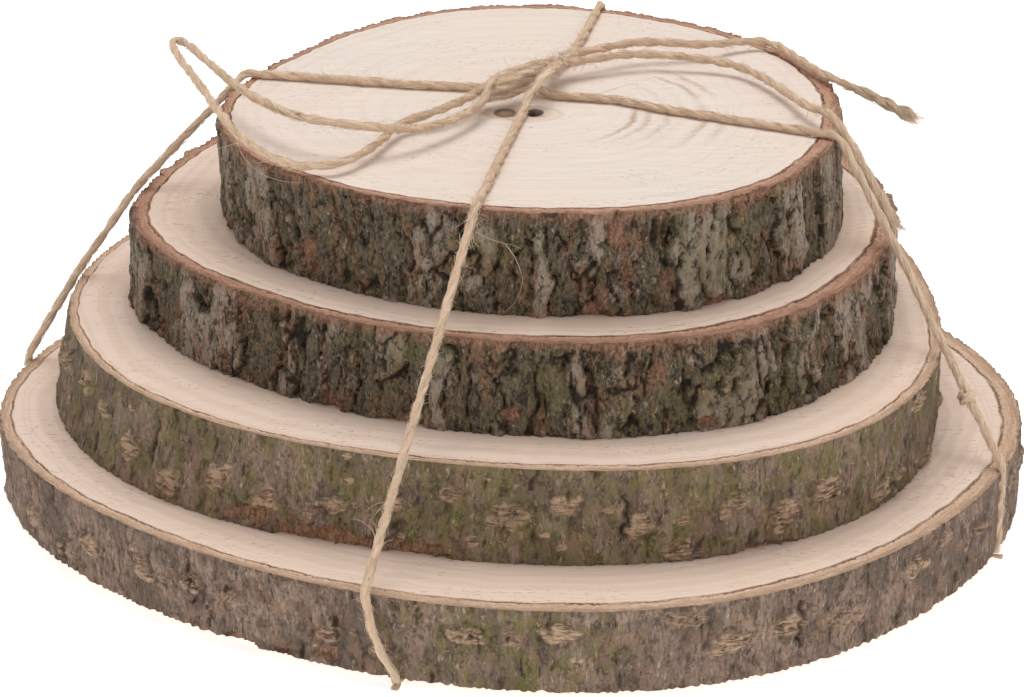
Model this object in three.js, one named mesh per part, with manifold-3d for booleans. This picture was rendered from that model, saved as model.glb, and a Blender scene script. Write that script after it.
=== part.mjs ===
// Four round slices of a tree trunk, stacked by size and tied crosswise with jute twine.
// Millimetres, +Z up. The origin is on the table, under the middle of the stack.
import * as THREE from "three";
import { mergeVertices } from "three/addons/utils/BufferGeometryUtils.js";
import Module from "manifold-3d";

const wasm = await Module();
wasm.setup();

const TWINE = 2.5; // diameter of the two-ply twine
const TWINE_SIDES = 8;
const TWINE_GAP = 0.3; // left between the twine and what it touches
const PRESSED_TWINE = { height: 1.4, width: 3.6 }; // where the stack's weight flattens it
const BARK_ROWS = 6;
const RIGHT_ANGLE = Math.PI / 2;

// Each slice, from the lowest up: outer radius, thickness and centre, then the lobes that make its
// outline uneven, each as how many, how far and towards what angle. flare and lean move the lower
// outline outwards and sideways.
const SLICES = [
  {
    name: "slice_bottom",
    radius: 125,
    thickness: 21,
    centre: [2.2, -0.2],
    lobes: [[2, 2.3, -32], [3, 2.6, -54], [4, 1.5, 5], [5, 0.7, -16], [6, 0.8, 0]],
    flare: -0.9,
    lean: [0.7, 0.2],
    bark: wartyBark({ columns: 192, warts: 46, seed: 11 }),
    colour: 0x8d7c66,
  },
  {
    name: "slice_lower_middle",
    radius: 111.3,
    thickness: 23,
    centre: [2.4, 11.2],
    lobes: [[2, 0.9, -59], [3, 4.4, -56], [4, 1.5, -43]],
    flare: 1.4,
    lean: [-2.6, -0.8],
    bark: wartyBark({ columns: 184, warts: 54, seed: 5 }),
    colour: 0x84785a,
  },
  {
    name: "slice_upper_middle",
    radius: 96.1,
    thickness: 23.2,
    centre: [3.3, 17.3],
    lobes: [[2, 2.5, -49], [3, 1.8, 60], [4, 0.9, 29], [5, 1, -17], [6, 0.9, 3]],
    flare: 1.5,
    lean: [1.4, -0.2],
    bark: furrowedBark({ columns: 176, furrows: 50, depth: 2.4, phase: 1.7 }),
    colour: 0x5f5142,
  },
  {
    name: "slice_top",
    radius: 79.7,
    thickness: 26.1,
    centre: [6.9, 17.2],
    lobes: [[2, 2.6, -85], [3, 2, -40], [4, 1.4, 18], [5, 0.5, 28]],
    flare: 0.2,
    lean: [1, 0.3],
    bark: furrowedBark({ columns: 160, furrows: 44, depth: 2.6, phase: 0.4 }),
    colour: 0x5c5246,
  },
];
const FACE = PRESSED_TWINE.height + SLICES.reduce((sum, slice) => sum + slice.thickness, 0);
const PITH_HOLE = { at: [6.3, 9.6], radius: 2.1, depth: 7 };

// The four strands that hold the stack, from the knot over the rims to under the bottom slice.
const TIGHT_BEND = 2;
const STRAND_ARC_STEPS = 4;
const STRANDS = {
  twine_front_strand: [
    [6.5, 15.3, 97.1], [3.1, 3.3, 96.3], [-7.9, -62.2, 96.3], [-32.8, -116.9, 23.4], [-31.3, -118.8, 15],
    [-28.2, -119.4, 7], [-26, -119.3, 3.4], [-25.8, -119.2, 1.7],
  ],
  twine_back_strand: [
    [11.2, 38.6, 97.4], [14.8, 48, 96.6], [18.4, 64.4, 96.3], [24.6, 98.7, 96.3], [26.4, 111, 69.4], [28.8, 122.9, 46],
    [30, 122.8, 23.5], [30.4, 122.3, 1.7],
  ],
  twine_left_strand: [
    [-1.8, 25.2, 96.3], [-27.7, 29.2, 96.3], [-67.5, 38, 96.3], [-94.9, 26.2, 69.5], [-111.1, 25.6, 46.2],
    [-124.7, 25.6, 23.4], [-124.9, 25.4, 1.7],
  ],
  twine_right_strand: [
    [10.6, 20.2, 96.3], [26.9, 16.5, 96.3], [39.1, 8.7, 96.3], [80.2, -11.4, 96.3], [94.5, -17.9, 69.5],
    [119.4, -46.9, 23.4], [118.6, -49.2, 1.7],
  ],
};
const SMALL_KNOT = { strand: "twine_right_strand", at: [111.2, -37.4, 38.2], radius: 2.6 };

// The loose ends of the bow: one loop to the left and two cut ends to the right.
const LOOSE_BEND = 60;
const LOOSE_ENDS = {
  twine_loop: [
    [-6.3, 13.8, 99.6], [-13.4, -3, 100.6], [-20.6, -19, 102.2], [-31, -26.2, 103], [-40.7, -24, 103.3],
    [-50.5, -19.6, 103.4], [-58.2, -10.6, 103.4], [-66.3, 2, 103.4], [-71.5, 13.9, 103.4], [-78.1, 28.6, 103.8],
    [-82.8, 38.6, 104.3], [-86.2, 39.2, 104.3], [-84.4, 30.6, 103.6], [-77.2, 11.4, 102], [-72.3, -2.1, 100.4],
    [-66.5, -16.7, 98.6], [-59.8, -27.1, 97.4], [-53.5, -34, 96.8], [-48, -37, 97], [-40.2, -37.4, 98.2],
    [-33.8, -33.4, 98.8], [-29.4, -24.4, 99], [-26.8, -12.3, 98.8], [-21, -1.4, 98], [-14.8, 7.7, 97.8],
    [-7.6, 15.2, 97.5],
  ],
  twine_long_end: [
    [12.9, 37.1, 100.5], [22.3, 43, 100.6], [33.6, 50.4, 100.4], [42.6, 51, 99.7], [50.4, 53, 98.6], [59.9, 59.6, 97.4],
    [66.5, 61.4, 97], [71, 55.2, 96.9], [74.9, 45.1, 96.9], [78.8, 35.8, 97], [83.2, 28.6, 96.8], [88.2, 24.2, 95.8],
    [93, 20.8, 94.4], [97.2, 18.2, 92.8], [101.2, 16.6, 91.2],
  ],
  twine_short_end: [
    [15, 35.1, 99.4], [24.3, 40.2, 99.5], [33.9, 44.2, 99.2], [42.3, 43.6, 98.7], [55.3, 40.7, 98], [61.8, 34.2, 97.6],
    [67.9, 21.7, 97.4], [73.6, 2.4, 98.6], [77.6, -4.6, 99.8], [79.8, -7.5, 98.7], [81.8, -9, 96], [84.4, -10.2, 91.9],
    [87.3, -11.2, 87.4], [90.3, -12, 83.1], [93.4, -12.8, 79], [96.6, -13.5, 75.2],
  ],
};

// The knot: the bundle of strands that lie beside each other, and the turn and stub that grip it.
const KNOT_TUBES = [
  { radius: 2.9, route: [[-6.2, 15.2, 98.4], [3, 24, 98.8], [13.4, 35.6, 99.6]] },
  { radius: 1.6, route: [[6.6, 16.2, 97.6], [8.4, 20.4, 100.6], [7, 27, 102.2], [3.2, 31.6, 99.6], [2.4, 32.4, 96.8]] },
  { radius: 1.4, route: [[4, 24.6, 96.9], [9.8, 20.8, 96.4]] },
];

// A height share from 0 to 1 and an angle give how far the bark stands out from the outline.
function furrowedBark({ columns, furrows, depth, phase }) {
  function relief(angle, height) {
    const wander = 0.04 * Math.sin(5 * angle + phase) + 0.025 * Math.sin(11 * angle + 3 * height + phase);
    const ridge = Math.abs(Math.sin((furrows / 2) * (angle + wander) + 0.5 * Math.sin(4 * height + phase)));
    const crossing = Math.abs(Math.sin(19 * angle + 2.4 * height + 2 * phase));
    const swell = Math.sin(7 * angle + 2 * phase) * Math.cos(3 * height - phase);
    return depth * (0.6 * ridge ** 0.7 + 0.25 * crossing + 0.15 * swell - 0.6);
  }
  return { columns, relief };
}

// Smoother bark with low waves and with round and flat warts scattered over it.
function wartyBark({ columns, warts, seed }) {
  const random = seededRandom(seed);
  const spots = [];
  for (let i = 0; i < warts; i++) {
    spots.push({
      angle: ((i + 0.8 * random()) / warts) * 2 * Math.PI,
      height: 0.12 + 0.76 * random(),
      wide: 0.03 + 0.025 * random(),
      high: 0.1 + 0.08 * random(),
      proud: 0.9 + 0.9 * random(),
    });
  }
  function relief(angle, height) {
    let out = 0.35 * Math.sin(23 * angle + seed) + 0.3 * Math.sin(9 * angle + 4 * height) - 0.2;
    for (const spot of spots) {
      const turn = Math.atan2(Math.sin(angle - spot.angle), Math.cos(angle - spot.angle));
      out += spot.proud * Math.exp(-((turn / spot.wide) ** 2) - ((height - spot.height) / spot.high) ** 2);
    }
    return out;
  }
  return { columns, relief };
}

// The usual small linear congruential generator, so that every build places the same warts.
function seededRandom(seed) {
  let state = seed;
  return () => {
    state = (state * 16807) % 2147483647;
    return state / 2147483647;
  };
}

// One slice: a fan on each sawn face and, between them, rows of bark points moved by its relief.
function sliceGeometry(slice, bottom) {
  const { columns, relief } = slice.bark;
  const points = [];
  for (let row = 0; row < BARK_ROWS; row++) {
    const height = row / (BARK_ROWS - 1);
    const centre = lowerOutlineCentre(slice, 1 - height);
    for (let column = 0; column < columns; column++) {
      const angle = (column / columns) * 2 * Math.PI;
      const radius = outlineRadius(slice, angle, 1 - height) + relief(angle, height);
      points.push([
        centre[0] + radius * Math.cos(angle),
        centre[1] + radius * Math.sin(angle),
        bottom + height * slice.thickness,
      ]);
    }
  }
  const lowMiddle = points.push([...lowerOutlineCentre(slice, 1), bottom]) - 1;
  const highMiddle = points.push([...slice.centre, bottom + slice.thickness]) - 1;
  const triangles = [];
  for (let column = 0; column < columns; column++) {
    const next = (column + 1) % columns;
    for (let row = 0; row < BARK_ROWS - 1; row++) {
      const low = row * columns;
      const high = low + columns;
      triangles.push([low + column, low + next, high + next], [low + column, high + next, high + column]);
    }
    const top = (BARK_ROWS - 1) * columns;
    triangles.push([lowMiddle, next, column], [highMiddle, top + column, top + next]);
  }
  return closedGeometry(points, triangles);
}

function outlineRadius(slice, angle, lowShare) {
  let radius = slice.radius + slice.flare * lowShare;
  for (const [count, size, degrees] of slice.lobes)
    radius += size * Math.cos(count * (angle - THREE.MathUtils.degToRad(degrees)));
  return radius;
}

function lowerOutlineCentre(slice, lowShare) {
  return [slice.centre[0] + slice.lean[0] * lowShare, slice.centre[1] + slice.lean[1] * lowShare];
}

function closedGeometry(points, triangles) {
  const geometry = new THREE.BufferGeometry();
  geometry.setAttribute("position", new THREE.Float32BufferAttribute(points.flat(), 3));
  geometry.setIndex(triangles.flat());
  return geometry;
}

// Straight runs between points, each corner rounded by a parabola that starts at most one bend
// length from it. Its rings fall on the samples, which lie close together in the bends.
class TwineRoute extends THREE.Curve {
  constructor(corners, bend, arcSteps) {
    super();
    const points = corners.map((corner) => new THREE.Vector3(...corner));
    this.samples = [points[0]];
    for (let i = 1; i < points.length - 1; i++) {
      const before = towards(points[i], points[i - 1], bend);
      const after = towards(points[i], points[i + 1], bend);
      const arc = new THREE.QuadraticBezierCurve3(before, points[i], after);
      for (const sample of arc.getPoints(arcSteps)) this.addSample(sample);
    }
    this.addSample(points[points.length - 1]);
  }

  addSample(sample) {
    const shortest = 0.2;
    if (sample.distanceTo(this.samples[this.samples.length - 1]) > shortest) this.samples.push(sample);
  }

  get steps() {
    return this.samples.length - 1;
  }

  getUtoTmapping(share) {
    return share;
  }

  getPoint(share) {
    const place = Math.min(share * this.steps, this.steps - 1e-9);
    const index = Math.floor(place);
    return this.samples[index].clone().lerp(this.samples[index + 1], place - index);
  }

  getTangent(share) {
    const index = Math.round(share * this.steps);
    const before = this.samples[Math.max(index - 1, 0)];
    const after = this.samples[Math.min(index + 1, this.steps)];
    const here = this.samples[index];
    const arriving = index > 0 ? here.clone().sub(before).normalize() : new THREE.Vector3();
    const leaving = index < this.steps ? after.clone().sub(here).normalize() : new THREE.Vector3();
    return arriving.add(leaving).normalize();
  }
}

function towards(from, to, bend) {
  const half = from.distanceTo(to) / 2;
  return from.clone().lerp(to, Math.min(bend, half) / (2 * half));
}

function twineGeometry(corners, bend, arcSteps, radius = TWINE / 2) {
  const route = new TwineRoute(corners, bend, arcSteps);
  const section = new THREE.Shape();
  for (let side = 0; side < TWINE_SIDES; side++) {
    const angle = (side / TWINE_SIDES) * 2 * Math.PI;
    const x = radius * Math.cos(angle);
    const y = radius * Math.sin(angle);
    if (side === 0) section.moveTo(x, y);
    else section.lineTo(x, y);
  }
  section.closePath();
  return new THREE.ExtrudeGeometry(section, { steps: route.steps, extrudePath: route });
}

// The pressed twine under the stack: a flat strip from one place to another, with rounded ends.
function pressedGeometry([startX, startY], [endX, endY]) {
  const length = Math.hypot(endX - startX, endY - startY);
  const half = PRESSED_TWINE.width / 2;
  const outline = new THREE.Shape();
  outline.moveTo(0, -half);
  outline.lineTo(length, -half);
  outline.absarc(length, 0, half, -RIGHT_ANGLE, RIGHT_ANGLE);
  outline.lineTo(0, half);
  outline.absarc(0, 0, half, RIGHT_ANGLE, 3 * RIGHT_ANGLE);
  const strip = new THREE.ExtrudeGeometry(outline, {
    depth: PRESSED_TWINE.height,
    bevelEnabled: false,
    curveSegments: 4,
  });
  strip.rotateZ(Math.atan2(endY - startY, endX - startX));
  strip.translate(startX, startY, 0);
  return strip;
}

function solidOf(geometry) {
  const bare = geometry.clone();
  bare.deleteAttribute("normal");
  bare.deleteAttribute("uv");
  const merged = mergeVertices(bare, 1e-3);
  return new wasm.Manifold(
    new wasm.Mesh({
      numProp: 3,
      vertProperties: new Float32Array(merged.attributes.position.array),
      triVerts: new Uint32Array(merged.index.array),
    }),
  );
}

function geometryOf(solid) {
  const mesh = solid.getMesh();
  const geometry = new THREE.BufferGeometry();
  geometry.setAttribute("position", new THREE.BufferAttribute(new Float32Array(mesh.vertProperties), 3));
  geometry.setIndex(new THREE.BufferAttribute(new Uint32Array(mesh.triVerts), 1));
  return geometry;
}

function fused(geometries) {
  return geometryOf(geometries.map(solidOf).reduce((joined, solid) => joined.add(solid)));
}

// The hole that the pith left in the top slice: an open cup with a rounded floor.
function pithHoleGeometry() {
  const { at, radius, depth } = PITH_HOLE;
  const profile = [
    new THREE.Vector2(0, -depth),
    new THREE.Vector2(0.6 * radius, -0.85 * depth),
    new THREE.Vector2(radius, 0),
    new THREE.Vector2(radius, 1),
    new THREE.Vector2(0, 1),
  ];
  const hole = new THREE.LatheGeometry(profile, 10);
  hole.rotateX(RIGHT_ANGLE);
  hole.translate(at[0], at[1], FACE);
  return hole;
}

function addPiece(group, name, geometry, material) {
  geometry.computeVertexNormals();
  const piece = new THREE.Mesh(geometry, material);
  piece.name = name;
  group.add(piece);
}

function barkMaterial(colour) {
  return new THREE.MeshStandardMaterial({ color: colour, roughness: 0.9, metalness: 0 });
}

function twineMaterial() {
  return new THREE.MeshStandardMaterial({ color: 0xb3936b, roughness: 0.95, metalness: 0 });
}

// The tight twine bites into the rims that it bends over, so each slice is cut by its strands.
function twineGroove(corners) {
  const [x, y] = corners[corners.length - 1];
  const below = [x, y, -TWINE];
  return solidOf(twineGeometry([...corners, below], TIGHT_BEND, STRAND_ARC_STEPS, TWINE / 2 + TWINE_GAP));
}

function addSlices(group) {
  const grooves = Object.values(STRANDS).map(twineGroove);
  let bottom = PRESSED_TWINE.height;
  for (const slice of SLICES) {
    let solid = solidOf(sliceGeometry(slice, bottom));
    for (const groove of grooves) solid = solid.subtract(groove);
    if (slice.name === "slice_top") solid = solid.subtract(solidOf(pithHoleGeometry()));
    addPiece(group, slice.name, geometryOf(solid), barkMaterial(slice.colour));
    bottom += slice.thickness;
  }
}

function addStrands(group) {
  for (const [name, corners] of Object.entries(STRANDS)) {
    let geometry = twineGeometry(corners, TIGHT_BEND, STRAND_ARC_STEPS);
    if (name === SMALL_KNOT.strand) {
      const lump = new THREE.SphereGeometry(SMALL_KNOT.radius, 10, 8);
      lump.scale(1, 1, 1.3);
      lump.translate(...SMALL_KNOT.at);
      geometry = fused([geometry, lump]);
    }
    addPiece(group, name, geometry, twineMaterial());
  }
}

function addLooseEnds(group) {
  const arcSteps = 2;
  for (const [name, corners] of Object.entries(LOOSE_ENDS))
    addPiece(group, name, twineGeometry(corners, LOOSE_BEND, arcSteps), twineMaterial());
}

function addKnot(group) {
  const arcSteps = 5;
  const tubes = KNOT_TUBES.map(({ radius, route }) => twineGeometry(route, LOOSE_BEND, arcSteps, radius));
  addPiece(group, "twine_knot", fused(tubes), twineMaterial());
}

// Under the stack one strand runs straight across and the other, in two halves, meets it.
function addPressedTwine(group) {
  const foot = (name) => STRANDS[name][STRANDS[name].length - 1];
  const left = foot("twine_left_strand");
  const right = foot("twine_right_strand");
  const front = foot("twine_front_strand");
  const back = foot("twine_back_strand");
  const across = new THREE.Line3(new THREE.Vector3(...left), new THREE.Vector3(...right));
  const along = new THREE.Vector3(...back).sub(new THREE.Vector3(...front)).normalize();
  const crossing = crossingOf(left, right, front, back);
  const sideways = across.delta(new THREE.Vector3()).normalize();
  const slant = Math.abs(along.x * sideways.y - along.y * sideways.x);
  const room = PRESSED_TWINE.width / 2 + (PRESSED_TWINE.width / 2 + TWINE_GAP) / slant;
  const short = ([x, y], sign) => [x + sign * along.x * room, y + sign * along.y * room];
  addPiece(group, "twine_under_across", pressedGeometry(left, right), twineMaterial());
  addPiece(group, "twine_under_front", pressedGeometry(front, short(crossing, -1)), twineMaterial());
  addPiece(group, "twine_under_back", pressedGeometry(short(crossing, 1), back), twineMaterial());
}

function crossingOf([ax, ay], [bx, by], [cx, cy], [dx, dy]) {
  const share =
    ((cx - ax) * (dy - cy) - (cy - ay) * (dx - cx)) / ((bx - ax) * (dy - cy) - (by - ay) * (dx - cx));
  return [ax + share * (bx - ax), ay + share * (by - ay)];
}

const tiedSlices = new THREE.Group();
tiedSlices.name = "tied_wood_slices";
addSlices(tiedSlices);
addPressedTwine(tiedSlices);
addStrands(tiedSlices);
addKnot(tiedSlices);
addLooseEnds(tiedSlices);

export default tiedSlices;
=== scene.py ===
"""Four round slices of a tree trunk, stacked by size and tied crosswise with jute twine.

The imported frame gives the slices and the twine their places. Here they get what shows: furrowed
and warty bark, sawn faces with growth rings, and twisted, hairy twine.
"""

import math
import random

import bmesh
import bpy
import numpy as np
from bpy.props import FloatProperty, FloatVectorProperty, IntProperty, PointerProperty
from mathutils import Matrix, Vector, kdtree, noise


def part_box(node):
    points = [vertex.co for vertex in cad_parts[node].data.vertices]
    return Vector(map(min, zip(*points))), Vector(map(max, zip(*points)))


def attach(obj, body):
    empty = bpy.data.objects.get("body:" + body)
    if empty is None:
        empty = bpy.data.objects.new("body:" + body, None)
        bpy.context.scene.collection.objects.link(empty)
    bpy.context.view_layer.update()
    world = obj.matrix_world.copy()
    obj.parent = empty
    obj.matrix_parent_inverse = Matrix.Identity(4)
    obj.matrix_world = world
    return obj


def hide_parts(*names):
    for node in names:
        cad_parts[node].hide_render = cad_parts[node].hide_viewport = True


bl_info = {
    "name": "Tied wood slices",
    "version": (1, 0, 0),
    "blender": (4, 5, 0),
    "location": "3D View > Sidebar > Wood slices",
    "description": "Builds a tied stack of round tree slices with bark, growth rings and jute twine",
    "category": "Add Mesh",
}

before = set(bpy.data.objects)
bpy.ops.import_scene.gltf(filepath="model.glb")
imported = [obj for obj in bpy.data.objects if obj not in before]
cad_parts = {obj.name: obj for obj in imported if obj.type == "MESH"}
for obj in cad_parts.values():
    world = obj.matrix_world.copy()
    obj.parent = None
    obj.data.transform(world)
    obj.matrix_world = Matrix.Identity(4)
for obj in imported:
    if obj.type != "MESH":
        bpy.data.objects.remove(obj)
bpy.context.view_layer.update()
MM = 0.001

# The slices as they were sawn, in millimetres and degrees: outer radius and centre, then the lobes
# of the outline, each as how many, how far and towards what angle. flare and lean move the lower
# outline outwards and sideways. Torn and moss marks are an angle, a height share, half a width and
# half a height. Cracks are an angle, a height share and half a height, dents an angle, half a width
# in degrees and a depth.
SLICES = {
    "slice_bottom": {
        "radius": 125,
        "centre": (2.2, -0.2),
        "lobes": ((2, 2.3, -32), (3, 2.6, -54), (4, 1.5, 5), (5, 0.7, -16), (6, 0.8, 0)),
        "flare": -0.9,
        "lean": (0.7, 0.2),
        "pith": (9, 6),
        "bark": "warty",
        "bark_width": 4.4,
        "warts": {"count": 46, "seed": 11},
        "torn": (
            (-124.5, 0, 5.5, 1.6),
            (-118, 0.06, 3, 1.2),
            (-112, 0.14, 4, 1.6),
            (40, 0.05, 7, 2),
            (150, 0, 5, 2),
        ),
        "cracks": ((-130.5, 0.65, 0.36), (-128, 0.2, 0.14), (-60, 0.5, 0.3), (65, 0.6, 0.3)),
        "moss": ((-92, 0.5, 25, 14), (120, 0.4, 30, 14)),
    },
    "slice_lower_middle": {
        "radius": 111.3,
        "centre": (2.4, 11.2),
        "lobes": ((2, 0.9, -59), (3, 4.4, -56), (4, 1.5, -43)),
        "flare": 1.4,
        "lean": (-2.6, -0.8),
        "pith": (8, 14),
        "bark": "warty",
        "bark_width": 3.2,
        "warts": {"count": 54, "seed": 5},
        "mossy": 0.75,
        "torn": (
            (-124, 0.12, 8, 2),
            (-112, 0.03, 16, 3.4),
            (-101, 0, 9, 3),
            (-60, 0, 6, 2),
            (75, 0.05, 18, 3),
        ),
        "cracks": ((-141, 0.6, 0.35), (-77, 0.5, 0.3), (20, 0.5, 0.4)),
        "moss": (
            (-96, 0.35, 22, 12),
            (-72, 0.2, 26, 9),
            (-60, 0.85, 26, 8),
            (-120, 0.6, 24, 9),
            (90, 0.4, 40, 12),
        ),
    },
    "slice_upper_middle": {
        "radius": 96.1,
        "centre": (3.3, 17.3),
        "lobes": ((2, 2.5, -49), (3, 1.8, 60), (4, 0.9, 29), (5, 1, -17), (6, 0.9, 3)),
        "flare": 1.5,
        "lean": (1.4, -0.2),
        "pith": (6, 14),
        "bark": "furrowed",
        "bark_width": 5.2,
        "seed": 17,
        "dents": ((-5, 17, 3.7), (184, 12, -1.2)),
        "torn": (
            (-153, 0.45, 2.2, 3),
            (-141, 0.15, 1.6, 3.4),
            (-120, 0.06, 4, 2),
            (-109, 0, 5, 2),
            (-135, 0.85, 6, 1.6),
            (-97, 0.75, 2.4, 1.6),
            (-92, 0.2, 2, 2.2),
            (-66, 0.08, 3, 1.6),
            (60, 0.2, 4, 3),
        ),
        "cracks": (),
        "moss": ((-105, 0.8, 20, 5), (-86, 0.5, 8, 6), (-60, 0.3, 25, 8), (130, 0.6, 40, 9)),
    },
    "slice_top": {
        "radius": 79.7,
        "centre": (6.9, 17.2),
        "lobes": ((2, 2.6, -85), (3, 2, -40), (4, 1.4, 18), (5, 0.5, 28)),
        "flare": 0.2,
        "lean": (1, 0.3),
        "pith": (6.3, 9.6),
        "bark": "furrowed",
        "bark_width": 4.2,
        "seed": 3,
        "torn": (
            (-136, 0.15, 3.6, 4.6),
            (-81, 0.02, 3, 2.6),
            (-76, 0.5, 1.2, 5),
            (-60, 0.02, 6, 1.8),
            (-69, 0.32, 1.6, 2.4),
            (-77, 0.78, 2.2, 6),
            (-52, 0.92, 7, 1.8),
            (-163, 0.1, 3, 3),
            (80, 0.1, 6, 3),
        ),
        "cracks": (),
        "moss": (
            (-45, 0.9, 3.5, 3),
            (-168, 0.3, 9, 11),
            (-100, 0.6, 12, 5),
            (-60, 0.5, 14, 9),
            (170, 0.6, 12, 8),
        ),
    },
}
PITH_HOLE = {"radius": 2.1, "depth": 7}
CELL_WIDTH = 0.6912  # the bark's mesh cells, in millimetres
CELL_HEIGHT = 0.64
CUT_RINGS = 6  # rings of cells across the cut bark, and then across the sawn wood
FACE_RINGS = 8
NOISE_SEED = 1  # without it the drift of the bark's plates differs from run to run
RING_STEP = 0.01  # from ring to ring on the blank, whose radius is 1
RIM_WEAR = 0.7  # how deep the sawn rims are worn, in millimetres
TWINE_ROOM = 0.0013  # how near wood and bark come to the middle of the taut twine

# The stained arcs round the pith: the inner reach of each in tenths of a metre, and how dark it is.
STAINED_ARCS = ((0.25, 1), (0.287, 0.65), (0.333, 0.5), (0.425, 0.9), (0.472, 0.8))

# The taut twine from the knot over the rims to the underside, in metres.
TAUT_TWINE = {
    "twine_front_strand": (
        (0.0041, 0.0108, 0.0969), (0.0028, 0.0037, 0.0959), (-0.0079, -0.0622, 0.0959),
        (-0.0328, -0.1169, 0.0234), (-0.0313, -0.1188, 0.015), (-0.0282, -0.1194, 0.007),
        (-0.026, -0.1193, 0.0034), (-0.0258, -0.1192, 0.0017),
    ),
    "twine_back_strand": (
        (0.0098, 0.0318, 0.099), (0.0112, 0.0386, 0.0974), (0.0148, 0.048, 0.0966),
        (0.0184, 0.0644, 0.0959), (0.0246, 0.0987, 0.0959), (0.0264, 0.111, 0.0694),
        (0.0288, 0.1229, 0.046), (0.03, 0.1228, 0.0235), (0.0304, 0.1223, 0.0017),
    ),
    "twine_left_strand": (
        (-0.0018, 0.0252, 0.0959), (-0.0277, 0.0292, 0.0959), (-0.0675, 0.038, 0.0959),
        (-0.0949, 0.0262, 0.0695), (-0.1111, 0.0256, 0.0462), (-0.1247, 0.0256, 0.0234),
        (-0.1249, 0.0254, 0.0017),
    ),
    "twine_right_strand": (
        (0.0052, 0.0235, 0.0976), (0.0106, 0.0202, 0.0959), (0.0269, 0.0165, 0.0959),
        (0.0391, 0.0087, 0.0959), (0.0802, -0.0114, 0.0959), (0.0945, -0.0179, 0.0695),
        (0.1194, -0.0469, 0.0234), (0.1186, -0.0492, 0.0017),
    ),
}
TIGHT_BEND = 0.002
SMALL_KNOT_AT = (0.1112, -0.0374, 0.0382)

# The bow's loop to the left and the two cut ends to the right, in metres.
LOOSE_TWINE = {
    "twine_loop": (
        (-0.0039, 0.0142, 0.1018), (-0.0051, 0.0116, 0.1016), (-0.0056, 0.0089, 0.1004),
        (-0.0068, 0.0052, 0.0989), (-0.0087, 0.0, 0.0987), (-0.0121, -0.0063, 0.099),
        (-0.0169, -0.013, 0.0995), (-0.0216, -0.0184, 0.1001), (-0.0264, -0.0217, 0.1011),
        (-0.0311, -0.0242, 0.1024), (-0.0407, -0.024, 0.1033), (-0.0505, -0.0196, 0.1034),
        (-0.0582, -0.0106, 0.1034), (-0.0663, 0.002, 0.1034), (-0.0715, 0.0139, 0.1034),
        (-0.0781, 0.0286, 0.1038), (-0.0828, 0.0386, 0.1043), (-0.0862, 0.0392, 0.1043),
        (-0.0844, 0.0306, 0.1036), (-0.0772, 0.0114, 0.102), (-0.0723, -0.0021, 0.1004),
        (-0.0665, -0.0167, 0.0986), (-0.0598, -0.0271, 0.0974), (-0.0535, -0.034, 0.0968),
        (-0.048, -0.037, 0.097), (-0.0402, -0.0374, 0.0978), (-0.0335, -0.0275, 0.0979),
        (-0.0297, -0.016, 0.0977), (-0.0272, -0.0089, 0.0977), (-0.0244, -0.0058, 0.0982),
        (-0.0207, -0.0044, 0.0989), (-0.0171, -0.0024, 0.0995), (-0.0134, 0.0014, 0.0999),
        (-0.0098, 0.0066, 0.1), (-0.0063, 0.0138, 0.0996),
    ),
    "twine_long_end": (
        (0.0129, 0.0371, 0.1005), (0.0223, 0.043, 0.1006), (0.0336, 0.0504, 0.1004),
        (0.0426, 0.051, 0.0997), (0.0504, 0.053, 0.0986), (0.0599, 0.0596, 0.0974),
        (0.0665, 0.0614, 0.097), (0.071, 0.0552, 0.0969), (0.0749, 0.0451, 0.0969),
        (0.0788, 0.0358, 0.097), (0.0832, 0.0286, 0.0968), (0.0882, 0.0242, 0.0958),
        (0.093, 0.0208, 0.0944), (0.0972, 0.0182, 0.0928), (0.1012, 0.0166, 0.0912),
    ),
    "twine_short_end": (
        (0.015, 0.0351, 0.0994), (0.0243, 0.0402, 0.0995), (0.0339, 0.0442, 0.0992),
        (0.0423, 0.0436, 0.0987), (0.0553, 0.0407, 0.098), (0.0618, 0.0342, 0.0976),
        (0.0679, 0.0217, 0.0974), (0.0736, 0.0024, 0.0986), (0.0776, -0.0046, 0.0998),
        (0.0798, -0.0075, 0.0987), (0.0818, -0.009, 0.096), (0.0844, -0.0102, 0.0919),
        (0.0868, -0.0112, 0.0872), (0.0893, -0.0121, 0.0826), (0.0919, -0.013, 0.0781),
        (0.0947, -0.0139, 0.0738),
    ),
}
LOOSE_BEND = 0.06
FRAYED_LENGTH = 0.016  # how much of a cut end has come apart
STEP_ALONG = 0.00055  # from ring to ring along a strand
ROUTE_SEED_STEP = 0.37  # keeps the routes of one piece from twisting alike
FRAYED_WINDINGS = 200
FRAYED_HAIRS = 220
HAIR_FLOOR = 0.0003  # no fibre hangs lower than this

# How much paler each kind of jute is than the twine's colour, then its contrast and bump height.
# The knot's jute is paler and less streaky as painted light, standing in for light that its dense fibres
# would scatter into their own shade.
JUTE_KINDS = {"twine": (0, 0.5, 0.3), "hairs": (0.06, 0.62, 0.02), "of the knot": (0.09, 0.32, 0.02)}

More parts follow.
